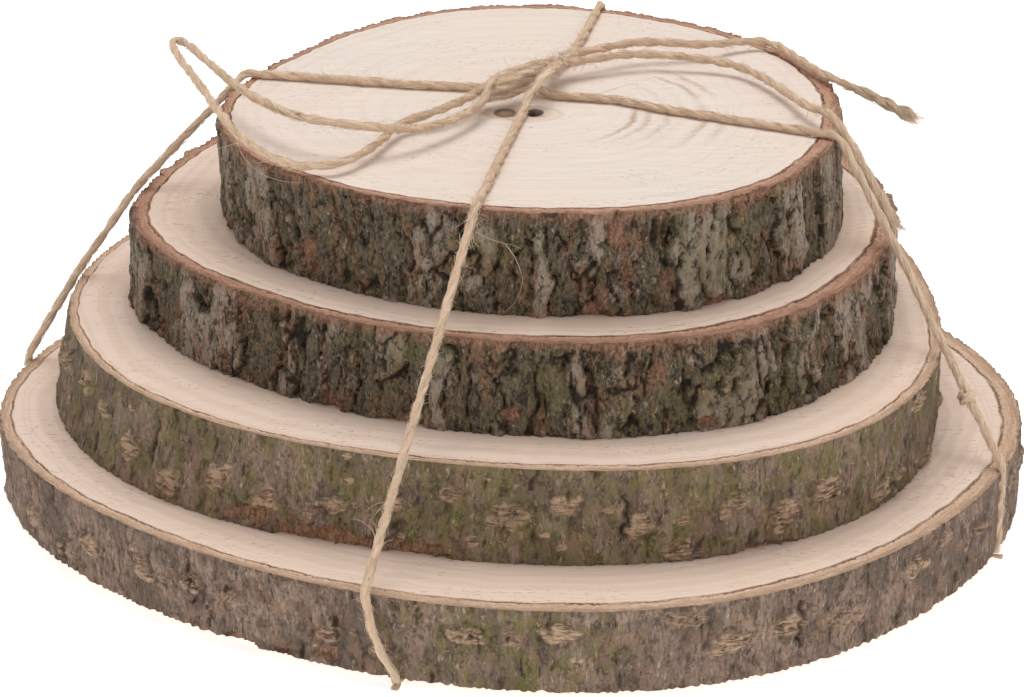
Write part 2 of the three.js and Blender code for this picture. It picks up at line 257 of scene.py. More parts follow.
# The knot's own runs of twine, in metres: the crossing pairs that make its body, then the front
# strand's end that climbs over them.
KNOT_TWINE = (
    (
        (-0.0054, 0.0154, 0.1006), (-0.0016, 0.0165, 0.1022), (0.0036, 0.0211, 0.1028),
        (0.0089, 0.0275, 0.1018), (0.0133, 0.0353, 0.1002), (0.0168, 0.0396, 0.1005),
    ),
    (
        (-0.0066, 0.0131, 0.0998), (-0.0024, 0.0136, 0.1014), (0.0028, 0.0169, 0.1024),
        (0.0079, 0.0228, 0.1018), (0.0135, 0.0343, 0.1), (0.0186, 0.0373, 0.0995),
    ),
    (
        (-0.0074, 0.0128, 0.0986), (-0.0026, 0.0123, 0.1), (0.0023, 0.0168, 0.1006),
        (0.0069, 0.0222, 0.1004), (0.0125, 0.0331, 0.0996),
    ),
    (
        (-0.0066, 0.013, 0.0972), (-0.0019, 0.0132, 0.0979), (0.0021, 0.0167, 0.0982),
        (0.0059, 0.0225, 0.0984), (0.011, 0.0329, 0.0986),
    ),
    (
        (0.0041, 0.0108, 0.0969), (0.0047, 0.0116, 0.0982), (0.0068, 0.0134, 0.101),
        (0.0093, 0.0164, 0.1029), (0.0117, 0.0261, 0.1016), (0.0131, 0.0368, 0.0992),
    ),
)

# Places where the twine is rubbed and fuzzy, each with how far round it and how many extra hairs.
TUFTS = {
    "twine_front_strand": (((-0.0076, -0.061, 0.0955), 0.005, 90), ((-0.0095, -0.068, 0.088), 0.004, 40)),
    "twine_short_end": (((0.0776, -0.0046, 0.0998), 0.005, 70), ((0.0844, -0.0102, 0.0919), 0.006, 50)),
    "twine_right_strand": (((0.0802, -0.0114, 0.0963), 0.006, 60),),
    "twine_loop": (((-0.0066, 0.0067, 0.0988), 0.008, 120),),
    "twine_long_end": (((0.0129, 0.0371, 0.1005), 0.004, 50),),
    "twine_knot": (((-0.0035, 0.015, 0.1015), 0.006, 60), ((0.0089, 0.0275, 0.1018), 0.008, 70)),
}

# Long pale fibres that have come loose from the front strand, the loop and the knot.
STRAYS = {
    "twine_front_strand": (
        (
            (-0.0078, -0.0631, 0.0901), (-0.0057, -0.0634, 0.089), (-0.0038, -0.0637, 0.0883),
            (-0.001, -0.064, 0.0875), (0.0008, -0.0642, 0.0873), (0.0027, -0.0643, 0.0863),
        ),
        (
            (-0.001, -0.064, 0.0876), (0.0015, -0.0644, 0.0841), (0.0027, -0.0645, 0.0807),
            (0.0032, -0.0645, 0.0782), (0.0022, -0.0645, 0.0747), (0.0006, -0.0644, 0.0721),
            (-0.001, -0.0642, 0.0706),
        ),
    ),
    "twine_loop": (
        (
            (-0.0655, -0.0185, 0.0985), (-0.066, -0.0201, 0.0978), (-0.065, -0.022, 0.0954),
            (-0.0626, -0.0261, 0.0938), (-0.0592, -0.0311, 0.0928), (-0.0546, -0.0369, 0.0933),
            (-0.0496, -0.0421, 0.0947),
        ),
    ),
    "twine_knot": (
        (
            (0.0006, 0.017, 0.1035), (-0.0006, 0.017, 0.1048), (-0.0014, 0.017, 0.1061),
            (-0.0014, 0.017, 0.1071), (-0.0004, 0.017, 0.1082),
        ),
    ),
}


class SliceSettings(bpy.types.PropertyGroup):
    furrow_depth: FloatProperty(
        name="Furrow depth",
        description="How deep the fissures between the bark plates of the two upper slices are",
        default=1.3 * MM,
        subtype="DISTANCE",
        unit="LENGTH",
    )
    wood: FloatVectorProperty(
        name="Sawn wood",
        description="Colour of the freshly sawn faces",
        default=(0.80, 0.69, 0.615),
        subtype="COLOR",
        size=3,
    )
    dark_bark: FloatVectorProperty(
        name="Dark bark",
        description="Colour of the bark plates on the two upper slices",
        default=(0.352, 0.274, 0.206),
        subtype="COLOR",
        size=3,
    )
    olive_bark: FloatVectorProperty(
        name="Olive bark",
        description="Colour of the smoother bark on the two lower slices",
        default=(0.325, 0.23, 0.173),
        subtype="COLOR",
        size=3,
    )


class TwineSettings(bpy.types.PropertyGroup):
    diameter: FloatProperty(
        name="Diameter",
        description="Thickness of the two-ply twine",
        default=2.5 * MM,
        subtype="DISTANCE",
        unit="LENGTH",
    )
    pitch: FloatProperty(
        name="Pitch",
        description="Length of twine in which its plies turn once round each other",
        default=13 * MM,
        subtype="DISTANCE",
        unit="LENGTH",
    )
    windings: IntProperty(
        name="Windings",
        description="Fibres that wind along the plies, for each centimetre of twine",
        default=21,
        min=0,
    )
    hairs: IntProperty(
        name="Hairs",
        description="Loose fibres that stand off, for each centimetre of twine",
        default=22,
        min=0,
    )
    colour: FloatVectorProperty(
        name="Jute",
        description="Mean colour of the jute fibres",
        default=(0.90, 0.645, 0.465),
        subtype="COLOR",
        size=3,
    )


class StageSettings(bpy.types.PropertyGroup):
    top_light: FloatProperty(
        name="Top light",
        description="Power of the large soft light above the stack",
        default=14.6,
        subtype="POWER",
        unit="POWER",
    )
    sky_light: FloatProperty(
        name="Surrounding light",
        description="Strength of the even white light from all round",
        default=0.42,
    )
    floor: FloatVectorProperty(
        name="Floor",
        description="Colour of the pale floor",
        default=(0.97, 0.97, 0.97),
        subtype="COLOR",
        size=3,
    )


def deselect_all():
    if bpy.context.object and bpy.context.object.mode != "OBJECT":
        bpy.ops.object.mode_set(mode="OBJECT")
    bpy.ops.object.select_all(action="DESELECT")


def finished(obj, node, material=None):
    """Lets a piece ride with the stack in the place of its plain solid."""
    if material:
        obj.data.materials.append(material)
    if node:
        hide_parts(node)
    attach(obj, "root")
    return obj


def coordinates(mesh):
    """The places of a mesh's vertices, one row for each."""
    places = np.empty(len(mesh.vertices) * 3, np.float32)
    mesh.vertices.foreach_get("co", places)
    return places.reshape(-1, 3).astype(float)


def set_coordinates(mesh, places):
    mesh.vertices.foreach_set("co", np.asarray(places, np.float32).ravel())
    mesh.update()


def store(mesh, name, values):
    """Keeps one number, or one vector, for each vertex under a name that materials read."""
    values = np.asarray(values, np.float32)
    if values.ndim == 1:
        mesh.attributes.new(name, "FLOAT", "POINT").data.foreach_set("value", values)
    else:
        mesh.attributes.new(name, "FLOAT_VECTOR", "POINT").data.foreach_set("vector", values.ravel())


def smooth_step(low, high, value):
    """Eases from 0 to 1 while the value goes from low to high."""
    share = np.clip((value - low) / (high - low), 0, 1)
    return share * share * (3 - 2 * share)


def outline_radius(piece, angle, low_share):
    """The sawn outline's reach from its centre, between the upper face at 0 and the lower at 1."""
    radius = piece["radius"] + piece["flare"] * low_share
    for count, size, degrees in piece["lobes"]:
        radius = radius + size * np.cos(count * (angle - math.radians(degrees)))
    return radius


def outline_centre(piece, low_share):
    return [piece["centre"][axis] + piece["lean"][axis] * low_share for axis in (0, 1)]


def seeded_random(seed):
    """The small generator that places the same warts here as on the plain solids."""
    state = seed
    while True:
        state = state * 16807 % 2147483647
        yield state / 2147483647


def bark_warts(count, seed):
    """Warts round the bark as angle, height share, half width, half height and how proud."""
    draw = seeded_random(seed)
    warts = []
    limits = ((0.12, 0.76), (0.03, 0.025), (0.1, 0.08), (0.9, 0.9))
    for index in range(count):
        angle = (index + 0.8 * next(draw)) / count * 2 * math.pi
        warts.append((angle, *[low + more * next(draw) for low, more in limits]))
    small = random.Random(seed)
    limits = ((0, 2 * math.pi), (0.05, 0.95), (0.008, 0.018), (0.03, 0.07))
    for _ in range(2 * count):
        warts.append((*[small.uniform(low, high) for low, high in limits], 0.5))
    return warts


def slice_blank(name, columns, rows):
    """A drum of radius 1 and height 1 whose faces step inwards ring by ring to a middle point."""
    deselect_all()
    bpy.ops.mesh.primitive_circle_add(vertices=columns, radius=1, enter_editmode=True)
    obj = bpy.context.object
    obj.name = name
    obj.data.name = name
    for _ in range(rows):
        bpy.ops.mesh.extrude_edges_move(TRANSFORM_OT_translate={"value": (0, 0, 1 / rows)})
    close_face(CUT_RINGS + FACE_RINGS)
    mesh = bmesh.from_edit_mesh(obj.data)
    for vertex in mesh.verts:
        vertex.select = vertex.co.z < 0.5 / rows
    mesh.select_flush_mode()
    bmesh.update_edit_mesh(obj.data)
    close_face(CUT_RINGS + FACE_RINGS)
    bpy.ops.mesh.select_all(action="SELECT")
    bpy.ops.mesh.normals_make_consistent(inside=False)
    bpy.ops.object.mode_set(mode="OBJECT")
    return obj


def close_face(rings):
    """Extrudes the selected edge loop inwards in equal steps and merges the last loop."""
    for ring in range(rings):
        size = 1 - ring * RING_STEP
        bpy.ops.mesh.extrude_edges_move()
        bpy.ops.transform.resize(value=((size - RING_STEP) / size, (size - RING_STEP) / size, 1))
    bpy.ops.mesh.extrude_edges_move()
    bpy.ops.mesh.merge(type="CENTER")


def bark_at_places(places, seed, bark_at, *values):
    """Relief in millimetres, and the shares of the darkened fissures (darker bark and painted shade), valley
    and tone, of one kind of bark.
    """
    rows = np.array([bark_at(Vector((x, y, z + 100 * seed)), *values) for x, y, z in places])
    return rows[:, 0], *np.clip(rows[:, 1:], 0, 1).T


def in_cells(place, width, height):
    return Vector((place.x / width, place.y / width, place.z / height))


def furrowed_bark(here, depth):
    """Flat upright plates, each with a tone of its own, with layered edges and open fissures."""
    drift = noise.noise_vector(here / 9) * 2.6 + noise.noise_vector(here / 2.2) * 0.7
    drift += noise.noise_vector(here / 0.9) * 0.25
    moved = here + drift
    gaps, nearest = noise.voronoi(in_cells(moved, 7.8, 33))
    border = gaps[1] - gaps[0]
    level = noise.cell(nearest[0] * 3.7)
    layers = noise.fractal(Vector((moved.x / 4, moved.y / 4, here.z / 15)), 0.8, 2.2, 3) * 1.9
    step = math.floor(layers) + min(1, (layers - math.floor(layers)) * 5)
    fine = noise.fractal(in_cells(here, 0.8, 2), 0.8, 2, 2)
    broken = min(1, max(0, 0.75 + 1.6 * noise.noise(here / 5)))
    crack = broken * math.exp(-((border / 0.06) ** 2))
    furrow = math.exp(-((noise.noise(in_cells(moved, 6.5, 30)) / 0.04) ** 2))
    valley = max(broken * (1 - min(1, max(0, (border - 0.07) / 0.16))), 0.6 * furrow)
    small_gaps, _ = noise.voronoi(in_cells(here, 2.6, 11) + drift * 0.2)
    small_crack = (1 - 0.6 * broken) * math.exp(-(((small_gaps[1] - small_gaps[0]) / 0.08) ** 2))
    deep = max(crack, furrow)
    relief = 1.3 * (level - 0.5) + 0.34 * step + 0.09 * fine
    relief -= depth * (0.8 * deep + 0.25 * valley) + 0.3 * small_crack
    # The darkening of the fissures and cracks is partly the darker inner bark and partly painted shade in
    # them.
    fissure_tone_and_shade = max(0.95 * deep, 0.65 * small_crack * (0.3 + level))
    tone = 0.75 * level + 0.3 + 0.35 * noise.noise(here / 6)
    return relief, fissure_tone_and_shade, valley, tone


def smooth_bark(here):
    """Thin bark with low upright wrinkles."""
    drift = noise.noise_vector(here / 5) * 1.6
    swell = noise.noise(here / 18)
    upright = Vector(((here.x + drift.x) / 1.6, (here.y + drift.y) / 1.6, (here.z + drift.z) / 9))
    wrinkle = noise.fractal(upright, 0.8, 2.2, 3)
    coarse = noise.noise(in_cells(here, 4, 13) + drift * 0.15)
    fine = noise.fractal(here / 1.1, 0.8, 2, 2)
    relief = 0.5 * swell + 0.36 * wrinkle + 0.5 * coarse + 0.12 * fine - 0.2
    # Darkest where the wrinkles are lowest: painted shade in the hollows, with the darker bark there.
    fissure_tone_and_shade = -1.7 * wrinkle - 0.4 - 0.5 * coarse
    valley = 0.5 - 1.1 * coarse - 0.6 * wrinkle
    tone = 0.5 + 1.3 * noise.fractal(in_cells(here, 9, 16), 0.8, 2.2, 4)
    return relief, fissure_tone_and_shade, valley, tone


def jitter(places, size, seed):
    """Ragged noise for each place, with lumps of about the given size."""
    return np.array([noise.fractal(Vector(p) / size + Vector((seed, 0, 0)), 0.8, 2, 3) for p in places])


def across(angle, middle, radius):
    """How far each angle lies from the middle one, in millimetres along the bark."""
    turn = angle - middle
    return np.arctan2(np.sin(turn), np.cos(turn)) * radius


def patches(marks, angle, height, radius, thickness, ragged):
    """How far each place lies inside the ragged oval marks, from 0 to 1."""
    share = np.zeros(len(angle))
    for degrees, level, half_width, half_height in marks:
        sideways = across(angle, math.radians(degrees), radius) / half_width
        upwards = (height - level) * thickness / half_height
        share = np.maximum(share, 1 - smooth_step(0.75, 1.1, np.hypot(sideways, upwards) + 0.55 * ragged))
    return share


def bark_surface(piece, angle, height, places, thickness, settings):
    """Relief in millimetres and the shares of the bark: darkened fissures (darker bark and painted shade),
    valley, tone, wart, torn and moss.
    """
    seed = piece.get("seed", piece.get("warts", {}).get("seed"))
    radius = piece["radius"]
    furrowed = piece["bark"] == "furrowed"
    kind = (furrowed_bark, settings.furrow_depth / MM) if furrowed else (smooth_bark,)
    relief, fissure_tone_and_shade, valley, tone = bark_at_places(places, seed, *kind)
    calm_rims = 0.5 if furrowed else 0.7
    relief = relief * (1 - calm_rims * smooth_step(0.75, 1, np.abs(2 * height - 1)))
    for degrees, half_width, depth in piece.get("dents", ()):
        share = np.exp(-((across(angle, math.radians(degrees), 1) / math.radians(half_width)) ** 2))
        relief -= depth * share * np.sqrt(np.clip(1 - height, 0, 1))
    ragged = jitter(places, 3.2, seed)
    wart = np.zeros(len(angle))
    for middle, level, wide, high, proud in bark_warts(**piece["warts"]) if "warts" in piece else ():
        sideways = across(angle, middle, 1) / (0.92 * wide)
        upwards = (height - level) / (0.92 * high)
        reach = np.hypot(sideways, upwards) + 0.5 * ragged
        lens = 1 - smooth_step(0.5, 1.15, reach)
        split = np.exp(-((upwards + 0.5 * ragged) ** 2) / 0.02) * (np.abs(sideways) < 0.8)
        rim = np.exp(-((reach - 1.15) ** 2) / 0.02)
        crater = np.exp(-((reach - 0.3) ** 2) / 0.012) * (math.sin(97 * middle) > -0.2)
        relief += proud * lens * (0.8 + 0.6 * ragged - 0.4 * split - 0.5 * crater) - 0.25 * rim
        wart = np.maximum(wart, lens * (1 - 0.5 * split) * (0.78 + 0.22 * math.sin(41 * middle)))
        # The grooves round the warts and their craters are darkened as painted shade.
        fissure_tone_and_shade = np.maximum(fissure_tone_and_shade, np.maximum(0.6 * rim, 0.75 * crater * lens))
    torn = patches(piece["torn"], angle, height, radius, thickness, 1.5 * ragged)
    moss = patches(piece["moss"], angle, height, radius, thickness, 1.6 * ragged)
    moss = np.maximum(moss, piece.get("mossy", 0))
    for degrees, level, half_height in piece["cracks"]:
        upwards = (height - level) / half_height
        wander = 0.5 * np.sin(4 * upwards + degrees) + 0.5 * np.sin(11 * upwards)
        sideways = across(angle, math.radians(degrees), radius) + wander
        open_width = 0.62 * np.clip(1 - upwards**2, 0, 1) ** 0.5
        crack = np.exp(-((sideways / np.maximum(open_width, 0.05)) ** 2)) * (np.abs(upwards) < 1)
        relief -= 1.6 * crack
        # The cracks are darkened: darker bark inside them and painted shade.
        fissure_tone_and_shade = np.maximum(fissure_tone_and_shade, crack)
    relief = relief * (1 - 0.5 * torn) - 1.6 * torn
    if furrowed:
        torn = np.maximum(torn, 0.75 * smooth_step(0.86, 0.98, height + 0.07 * ragged))
    return relief, fissure_tone_and_shade * (1 - 0.6 * torn), valley, tone, wart * (1 - torn), torn, moss


def face_rings(piece, edge, low_share, angle, column, rings):
    """Places of a face's rings, from the bark's edge over the wood's edge to the pith."""
    centre = outline_centre(piece, low_share)
    wood_edge = outline_radius(piece, angle, low_share) - piece["bark_width"] * (1 + 0.2 * np.cos(angle))
    wood_edge = wood_edge + 0.22 * np.sin(71 * angle + 1) * np.sin(13 * angle)
    wood_edge = wood_edge + 0.4 * np.sin(9 * angle + 2) * np.sin(5 * angle) + 0.12 * np.sin(31 * angle)
    cut = np.clip(rings / CUT_RINGS, 0, 1)
    radius = edge[column] * (1 - cut) + wood_edge * cut
    inwards = np.clip((rings - CUT_RINGS) / (FACE_RINGS + 1), 0, 1)
    share = (1 - inwards) ** 1.35
    x = centre[0] + radius * np.cos(angle)
    y = centre[1] + radius * np.sin(angle)
    pith = piece["pith"]
    return pith[0] + (x - pith[0]) * share, pith[1] + (y - pith[1]) * share, share, 1 - cut


def shape_slice(obj, piece, low, high, settings, twine_points):
    """Moves the drum's vertices to the slice's outline, bark relief and sawn faces."""
    blank = coordinates(obj.data)
    thickness = (high - low) / MM
    angle = np.arctan2(blank[:, 1], blank[:, 0])
    height = blank[:, 2]
    rings = np.rint((1 - np.hypot(blank[:, 0], blank[:, 1])) / RING_STEP)
    rings = np.where(rings > CUT_RINGS + FACE_RINGS, CUT_RINGS + FACE_RINGS + 1, rings)
    side = rings == 0
    radius = outline_radius(piece, angle, 1 - height)
    centre = np.stack(outline_centre(piece, 1 - height), axis=1)
    outwards = np.column_stack((np.cos(angle), np.sin(angle)))
    places = np.column_stack((centre + radius[:, None] * outwards, low / MM + height * thickness))
    marks = {name: np.zeros(len(blank)) for name in ("fissure_tone_and_shade", "valley", "tone", "wart", "torn", "moss")}
    relief = np.zeros(len(blank))
    surface = bark_surface(piece, angle[side], height[side], places[side], thickness, settings)
    relief[side] = surface[0]
    for name, values in zip(marks, surface[1:]):
        marks[name][side] = values
    columns = int(np.sum(side & (height > 0.999)))
    column = np.rint(angle / (2 * math.pi) * columns).astype(int) % columns
    worn = np.clip(jitter(places[side], 1.3, 9) + 0.3, 0, 1)
    edge_wear = np.zeros(len(blank))
    edge_wear[side] = worn * smooth_step(0.9, 1, np.abs(2 * height[side] - 1))
    relief[side] -= RIM_WEAR * edge_wear[side]
    places[:, :2] += relief[:, None] * outwards
    ring_reach = np.zeros(len(blank))
    cut_share = np.ones(len(blank))
    for level, low_share in ((1, 0), (0, 1)):
        rim = side & (np.abs(height - level) < 1e-3)
        edge = np.zeros(columns)
        edge[column[rim]] = (radius + relief)[rim]
        face = ~side & (np.abs(height - level) < 1e-3)
        x, y, share, cut = face_rings(piece, edge, low_share, angle[face], column[face], rings[face])
        places[face, 0] = x
        places[face, 1] = y
        ring_reach[face] = share * piece["radius"]
        cut_share[face] = cut
        sunk = np.clip(0.2 + jitter(places[face], 1.4, 4), 0, 1) * 0.4 * (cut > 0)
        places[face, 2] += sunk * (-1 if level else 1)
    for rim, way in ((side & (height > 0.999), -1), (side & (height < 0.001), 1)):
        places[rim, 2] += way * RIM_WEAR / 2 * edge_wear[rim]
    if obj.name.endswith("slice_top"):
        sink_pith_hole(places, rings, height, ring_reach)
    middle = [value * MM for value in piece["centre"]]
    places = clear_of_twine(places * MM, twine_points, middle)
    set_coordinates(obj.data, places)
    marks |= {"ring_reach": ring_reach, "cut_share": cut_share}
    marks["layers"] = np.column_stack((cut_share * piece["bark_width"], angle * piece["radius"], height))
    for name, values in marks.items():
        store(obj.data, name, values)
    give_face_materials(obj.data, rings, side)


def sink_pith_hole(places, rings, height, ring_reach):
    """Draws the innermost rings of the upper face together into the open pith hole."""
    pith = np.array(SLICES["slice_top"]["pith"])
    last = CUT_RINGS + FACE_RINGS + 1
    profile = {5: (6, 0), 4: (3.2, 0), 3: (1.05, 0), 2: (0.96, 0.12), 1: (0.7, 0.6), 0: (0, 1)}
    for steps, (wide, deep) in profile.items():
        chosen = (rings == last - steps) & (height > 0.5)
        away = places[chosen, :2] - pith
        reach = np.maximum(np.hypot(away[:, 0], away[:, 1]), 1e-6)[:, None]
        uneven = 1 + 0.16 * np.sin(2 * np.arctan2(away[:, 1], away[:, 0]) + 0.6)[:, None]
        oval = np.array((0.9, 1.4)) if steps < 4 else 1
        places[chosen, :2] = pith + away / reach * wide * PITH_HOLE["radius"] * uneven * oval
        places[chosen, 2] -= deep * PITH_HOLE["depth"]
        ring_reach[chosen] = wide * PITH_HOLE["radius"]


def clear_of_twine(places, twine_points, middle):
    """Presses the wood and bark back, inwards or downwards, where the taut twine lies on them."""
    tree = kdtree.KDTree(len(twine_points))
    for index, point in enumerate(twine_points):
        tree.insert(point, index)
    tree.balance()
    for index, place in enumerate(places):
        point, _, reach = tree.find(place)
        if reach > 3 * TWINE_ROOM:
            continue
        place = Vector(place)
        inwards = Vector((middle[0] - point.x, middle[1] - point.y, 0)).normalized()
        for way in (inwards, Vector((0, 0, -1))):
            away = place - point
            depth = away.dot(way)
            sideways = (away - way * depth).length
            if sideways < TWINE_ROOM:
                needed = math.sqrt(TWINE_ROOM**2 - sideways**2)
                if -TWINE_ROOM < depth < needed or (way is inwards and depth <= 0):
                    place += way * (needed - depth)
                    break
        places[index] = place
    return places


def give_face_materials(mesh, rings, side):
    """Bark on the side is material 0, the cut bark round a face 1 and the sawn wood 2."""
    corners = np.empty(len(mesh.loops), np.int32)
    mesh.loops.foreach_get("vertex_index", corners)
    starts = np.empty(len(mesh.polygons), np.int32)
    mesh.polygons.foreach_get("loop_start", starts)
    furthest = np.maximum.reduceat(rings[corners], starts)
    kinds = np.where(furthest == 0, 0, np.where(furthest <= CUT_RINGS, 1, 2))
    mesh.polygons.foreach_set("material_index", kinds.astype(np.int32))


def rounded_route(corners, bend, step):
    """Straight runs whose corners are rounded by parabolas, as points a step apart."""
    points = [np.array(corner) for corner in corners]
    line = [points[0]]
    for before, here, after in zip(points, points[1:], points[2:]):
        start = toward(here, before, bend)
        end = toward(here, after, bend)
        for share in np.linspace(0, 1, 9):
            line.append((1 - share) ** 2 * start + 2 * share * (1 - share) * here + share**2 * end)
    line.append(points[-1])
    line = np.array(line)
    length = np.concatenate(([0], np.cumsum(np.linalg.norm(np.diff(line, axis=0), axis=1))))
    places = np.linspace(0, length[-1], max(2, round(length[-1] / step)) + 1)
    return np.column_stack([np.interp(places, length, line[:, axis]) for axis in range(3)])


def toward(here, there, bend):
    """The place a bend's length from here, but at most halfway there."""
    length = np.linalg.norm(there - here)
    return here + (there - here) * min(bend, length / 2) / length


def carried_frames(points):
    """Tangents and two cross directions that turn as little as they can along the points."""
    tangents = np.gradient(points, axis=0)
    tangents /= np.linalg.norm(tangents, axis=1)[:, None]
    start = np.cross(tangents[0], (0.3, 0.2, 1))
    normals = [start / np.linalg.norm(start)]
    for tangent in tangents[1:]:
        normal = normals[-1] - tangent * np.dot(normals[-1], tangent)
        normals.append(normal / np.linalg.norm(normal))
    normals = np.array(normals)
    return tangents, normals, np.cross(tangents, normals)


def ply_lines(points, settings, seed, thin=1.0, fray=0.0):
    """The middle lines, radii and twist of the two plies, which part towards a frayed end."""
    tangents, normals, binormals = carried_frames(points)
    lengths = np.concatenate(([0], np.cumsum(np.linalg.norm(np.diff(points, axis=0), axis=1))))
    loose = np.array([noise.noise(Vector((s / (14 * MM), seed, 0))) for s in lengths])
    uneven = np.array([noise.noise(Vector((s / (4 * MM), 9, seed))) for s in lengths])
    parted = 1 + fray * smooth_step(lengths[-1] - FRAYED_LENGTH, lengths[-1], lengths)
    start_turn = random.Random(seed).uniform(0, 2 * math.pi)
    plies = []
    for ply in range(2):
        turn = lengths / settings.pitch * 2 * math.pi + ply * math.pi + start_turn + 1.6 * loose
        thick = settings.diameter * (0.285 + 0.03 * (loose + uneven) * (1 - 2 * ply)) * thin
        reach = settings.diameter * (0.125 + 0.05 * loose) * thin * parted
        outwards = np.cos(turn)[:, None] * normals + np.sin(turn)[:, None] * binormals
        middle = points + reach[:, None] * outwards
        plies.append((middle, thick, turn))
    return plies, tangents, normals, binormals, lengths


def twine_mesh(routes, settings, seed, flat=1.0, thin=1.0, fray=0.0):
    """Two plies turned round each other along each route, as vertices, faces and fibre directions."""
    sides = 9
    vertices, faces, fibres = [], [], []
    for number, points in enumerate(routes):
        own_seed = seed + ROUTE_SEED_STEP * number
        plies, _, normals, binormals, lengths = ply_lines(points, settings, own_seed, thin, fray)
        for ply, (middle, thick, turn) in enumerate(plies):
            base = len(vertices)
            for index, here in enumerate(middle):
                for side in range(sides):
                    around = side / sides * 2 * math.pi
                    strand = around - 0.35 * turn[index]
                    across_it = (2.6 * math.cos(strand), 2.6 * math.sin(strand))
                    bundle = Vector((*across_it, lengths[index] / (6 * MM))) + Vector((seed, 7 * ply, number))
                    size = thick[index] * (1 + 0.34 * noise.noise(bundle))
                    off = math.cos(around) * normals[index] + math.sin(around) * binormals[index]
                    place = here + size * off
                    if flat != 1.0:
                        place[2] = points[index][2] + (place[2] - points[index][2]) * flat
                    vertices.append(place)
                    fibres.append((math.cos(strand), math.sin(strand), lengths[index] / MM))
            join_rings(faces, base, len(middle), sides)
    return vertices, faces, fibres


def join_rings(faces, base, count, sides):
    """Walls between neighbouring rings of vertices, and a cap on each end."""
    for ring in range(count - 1):
        for side in range(sides):
            low = base + ring * sides
            after = (side + 1) % sides
            faces.append((low + side, low + after, low + sides + after, low + sides + side))
    faces.append(tuple(base + side for side in reversed(range(sides))))
    faces.append(tuple(base + (count - 1) * sides + side for side in range(sides)))


def mesh_piece(name, vertices, faces, fibres):
    """A new smooth piece from its mesh, with the fibre directions that its material reads."""
    deselect_all()
    mesh = bpy.data.meshes.new(name)
    mesh.from_pydata([tuple(v) for v in vertices], [], faces)
    store(mesh, "fibre", fibres)
    obj = bpy.data.objects.new(name, mesh)
    bpy.context.collection.objects.link(obj)
    bpy.context.view_layer.objects.active = obj
    obj.select_set(True)
    bpy.ops.object.mode_set(mode="EDIT")
    bpy.ops.mesh.select_all(action="SELECT")
    bpy.ops.mesh.normals_make_consistent(inside=False)
    bpy.ops.object.mode_set(mode="OBJECT")
    bpy.ops.object.shade_smooth()
    return obj


def hair_mesh(
    name, routes, settings, seed, density=1.0, fray=0.0, thin=1.0, strays=(), tufts=(), looseness=0.45
):
    """The fibres on a twine: most wind along it, others stand off, curl and taper, a few hang free."""
    draw = random.Random(seed)
    made = ([], [], [])
    for number, points in enumerate(routes):
        own_seed = seed + ROUTE_SEED_STEP * number
        plies, tangents, normals, binormals, lengths = ply_lines(points, settings, own_seed, thin, fray)
        ways = list(zip(points, tangents, normals, binormals))
        last = len(points) - 1
        centimetres = lengths[-1] * 100
        if not fray:
            plies.append((points, np.full(len(points), 0.365 * settings.diameter * thin), plies[0][2]))
        for _ in range(round(centimetres * settings.windings * density)):
            start = draw.randrange(0, last - 8)
            add_winding(made, draw, draw.choice(plies), normals, binormals, start, looseness)
        chosen = [draw.randrange(1, last) for _ in range(round(centimetres * settings.hairs * density))]
        for place, spread, count in tufts:
            near = np.flatnonzero(np.linalg.norm(points - np.array(place), axis=1) < spread)
            chosen += [draw.choice(list(near)) for _ in range(count) if len(near)]
        for index in chosen:
            add_hair(made, draw, *ways[index], settings)
        if fray:
            for _ in range(FRAYED_WINDINGS):
                start = last - draw.randrange(9, 40)
                add_winding(made, draw, draw.choice(plies), normals, binormals, start, 1.3)
            for _ in range(FRAYED_HAIRS):
                add_hair(made, draw, *ways[last - draw.randrange(1, 10)], settings, True)
    for stray in strays:
        places = [Vector(point) for point in rounded_route(stray, LOOSE_BEND, 0.6 * MM)]
        add_fibre(made, places, 0.07 * MM, 1.0)
    return mesh_piece(name, *made)


def add_winding(made, draw, ply, normals, binormals, start, looseness):
    """One fibre that runs along a ply's surface, a little proud of it, and lifts towards its end."""
    middle, thick, turn = ply
    stop = min(len(middle) - 1, start + draw.randrange(9, 26))
    around = draw.uniform(0, 2 * math.pi)
    rate = draw.gauss(0.35, 0.3)
    lift = looseness * draw.random() * (draw.random() + 0.25)
    wave = draw.uniform(0.03, 0.25) * (0.5 + looseness)
    sunk = draw.uniform(0.98, 1.14)
    places = []
    for index in range(start, stop + 1, 2):
        share = (index - start) / (stop - start)
        off = around + rate * (turn[index] - turn[start]) + wave * math.sin(11 * share + 3 * around)
        proud = sunk + lift * share**1.5 + wave * math.sin(9 * share + around)
        way = math.cos(off) * normals[index] + math.sin(off) * binormals[index]
        places.append(Vector(middle[index] + thick[index] * proud * way))
    add_fibre(made, places, draw.uniform(0.05, 0.13) * MM, around)


def add_fibre(made, places, width, around):
    """A slim three-sided tube through the places, thinner towards its tip."""
    vertices, faces, fibres = made
    base = len(vertices)
    for step, place in enumerate(places):
        ahead = places[min(step + 1, len(places) - 1)] - places[max(step - 1, 0)]
        first = ahead.orthogonal().normalized()
        second = ahead.normalized().cross(first)
        size = width * (1 - 0.7 * step / len(places))
        for side in range(3):
            turn = side / 3 * 2 * math.pi
            corner = place + (first * math.cos(turn) + second * math.sin(turn)) * size
            vertices.append((corner.x, corner.y, max(corner.z, HAIR_FLOOR)))
            fibres.append((math.cos(turn + around), math.sin(turn + around), step + 9 * around))
    join_rings(faces, base, len(places), 3)


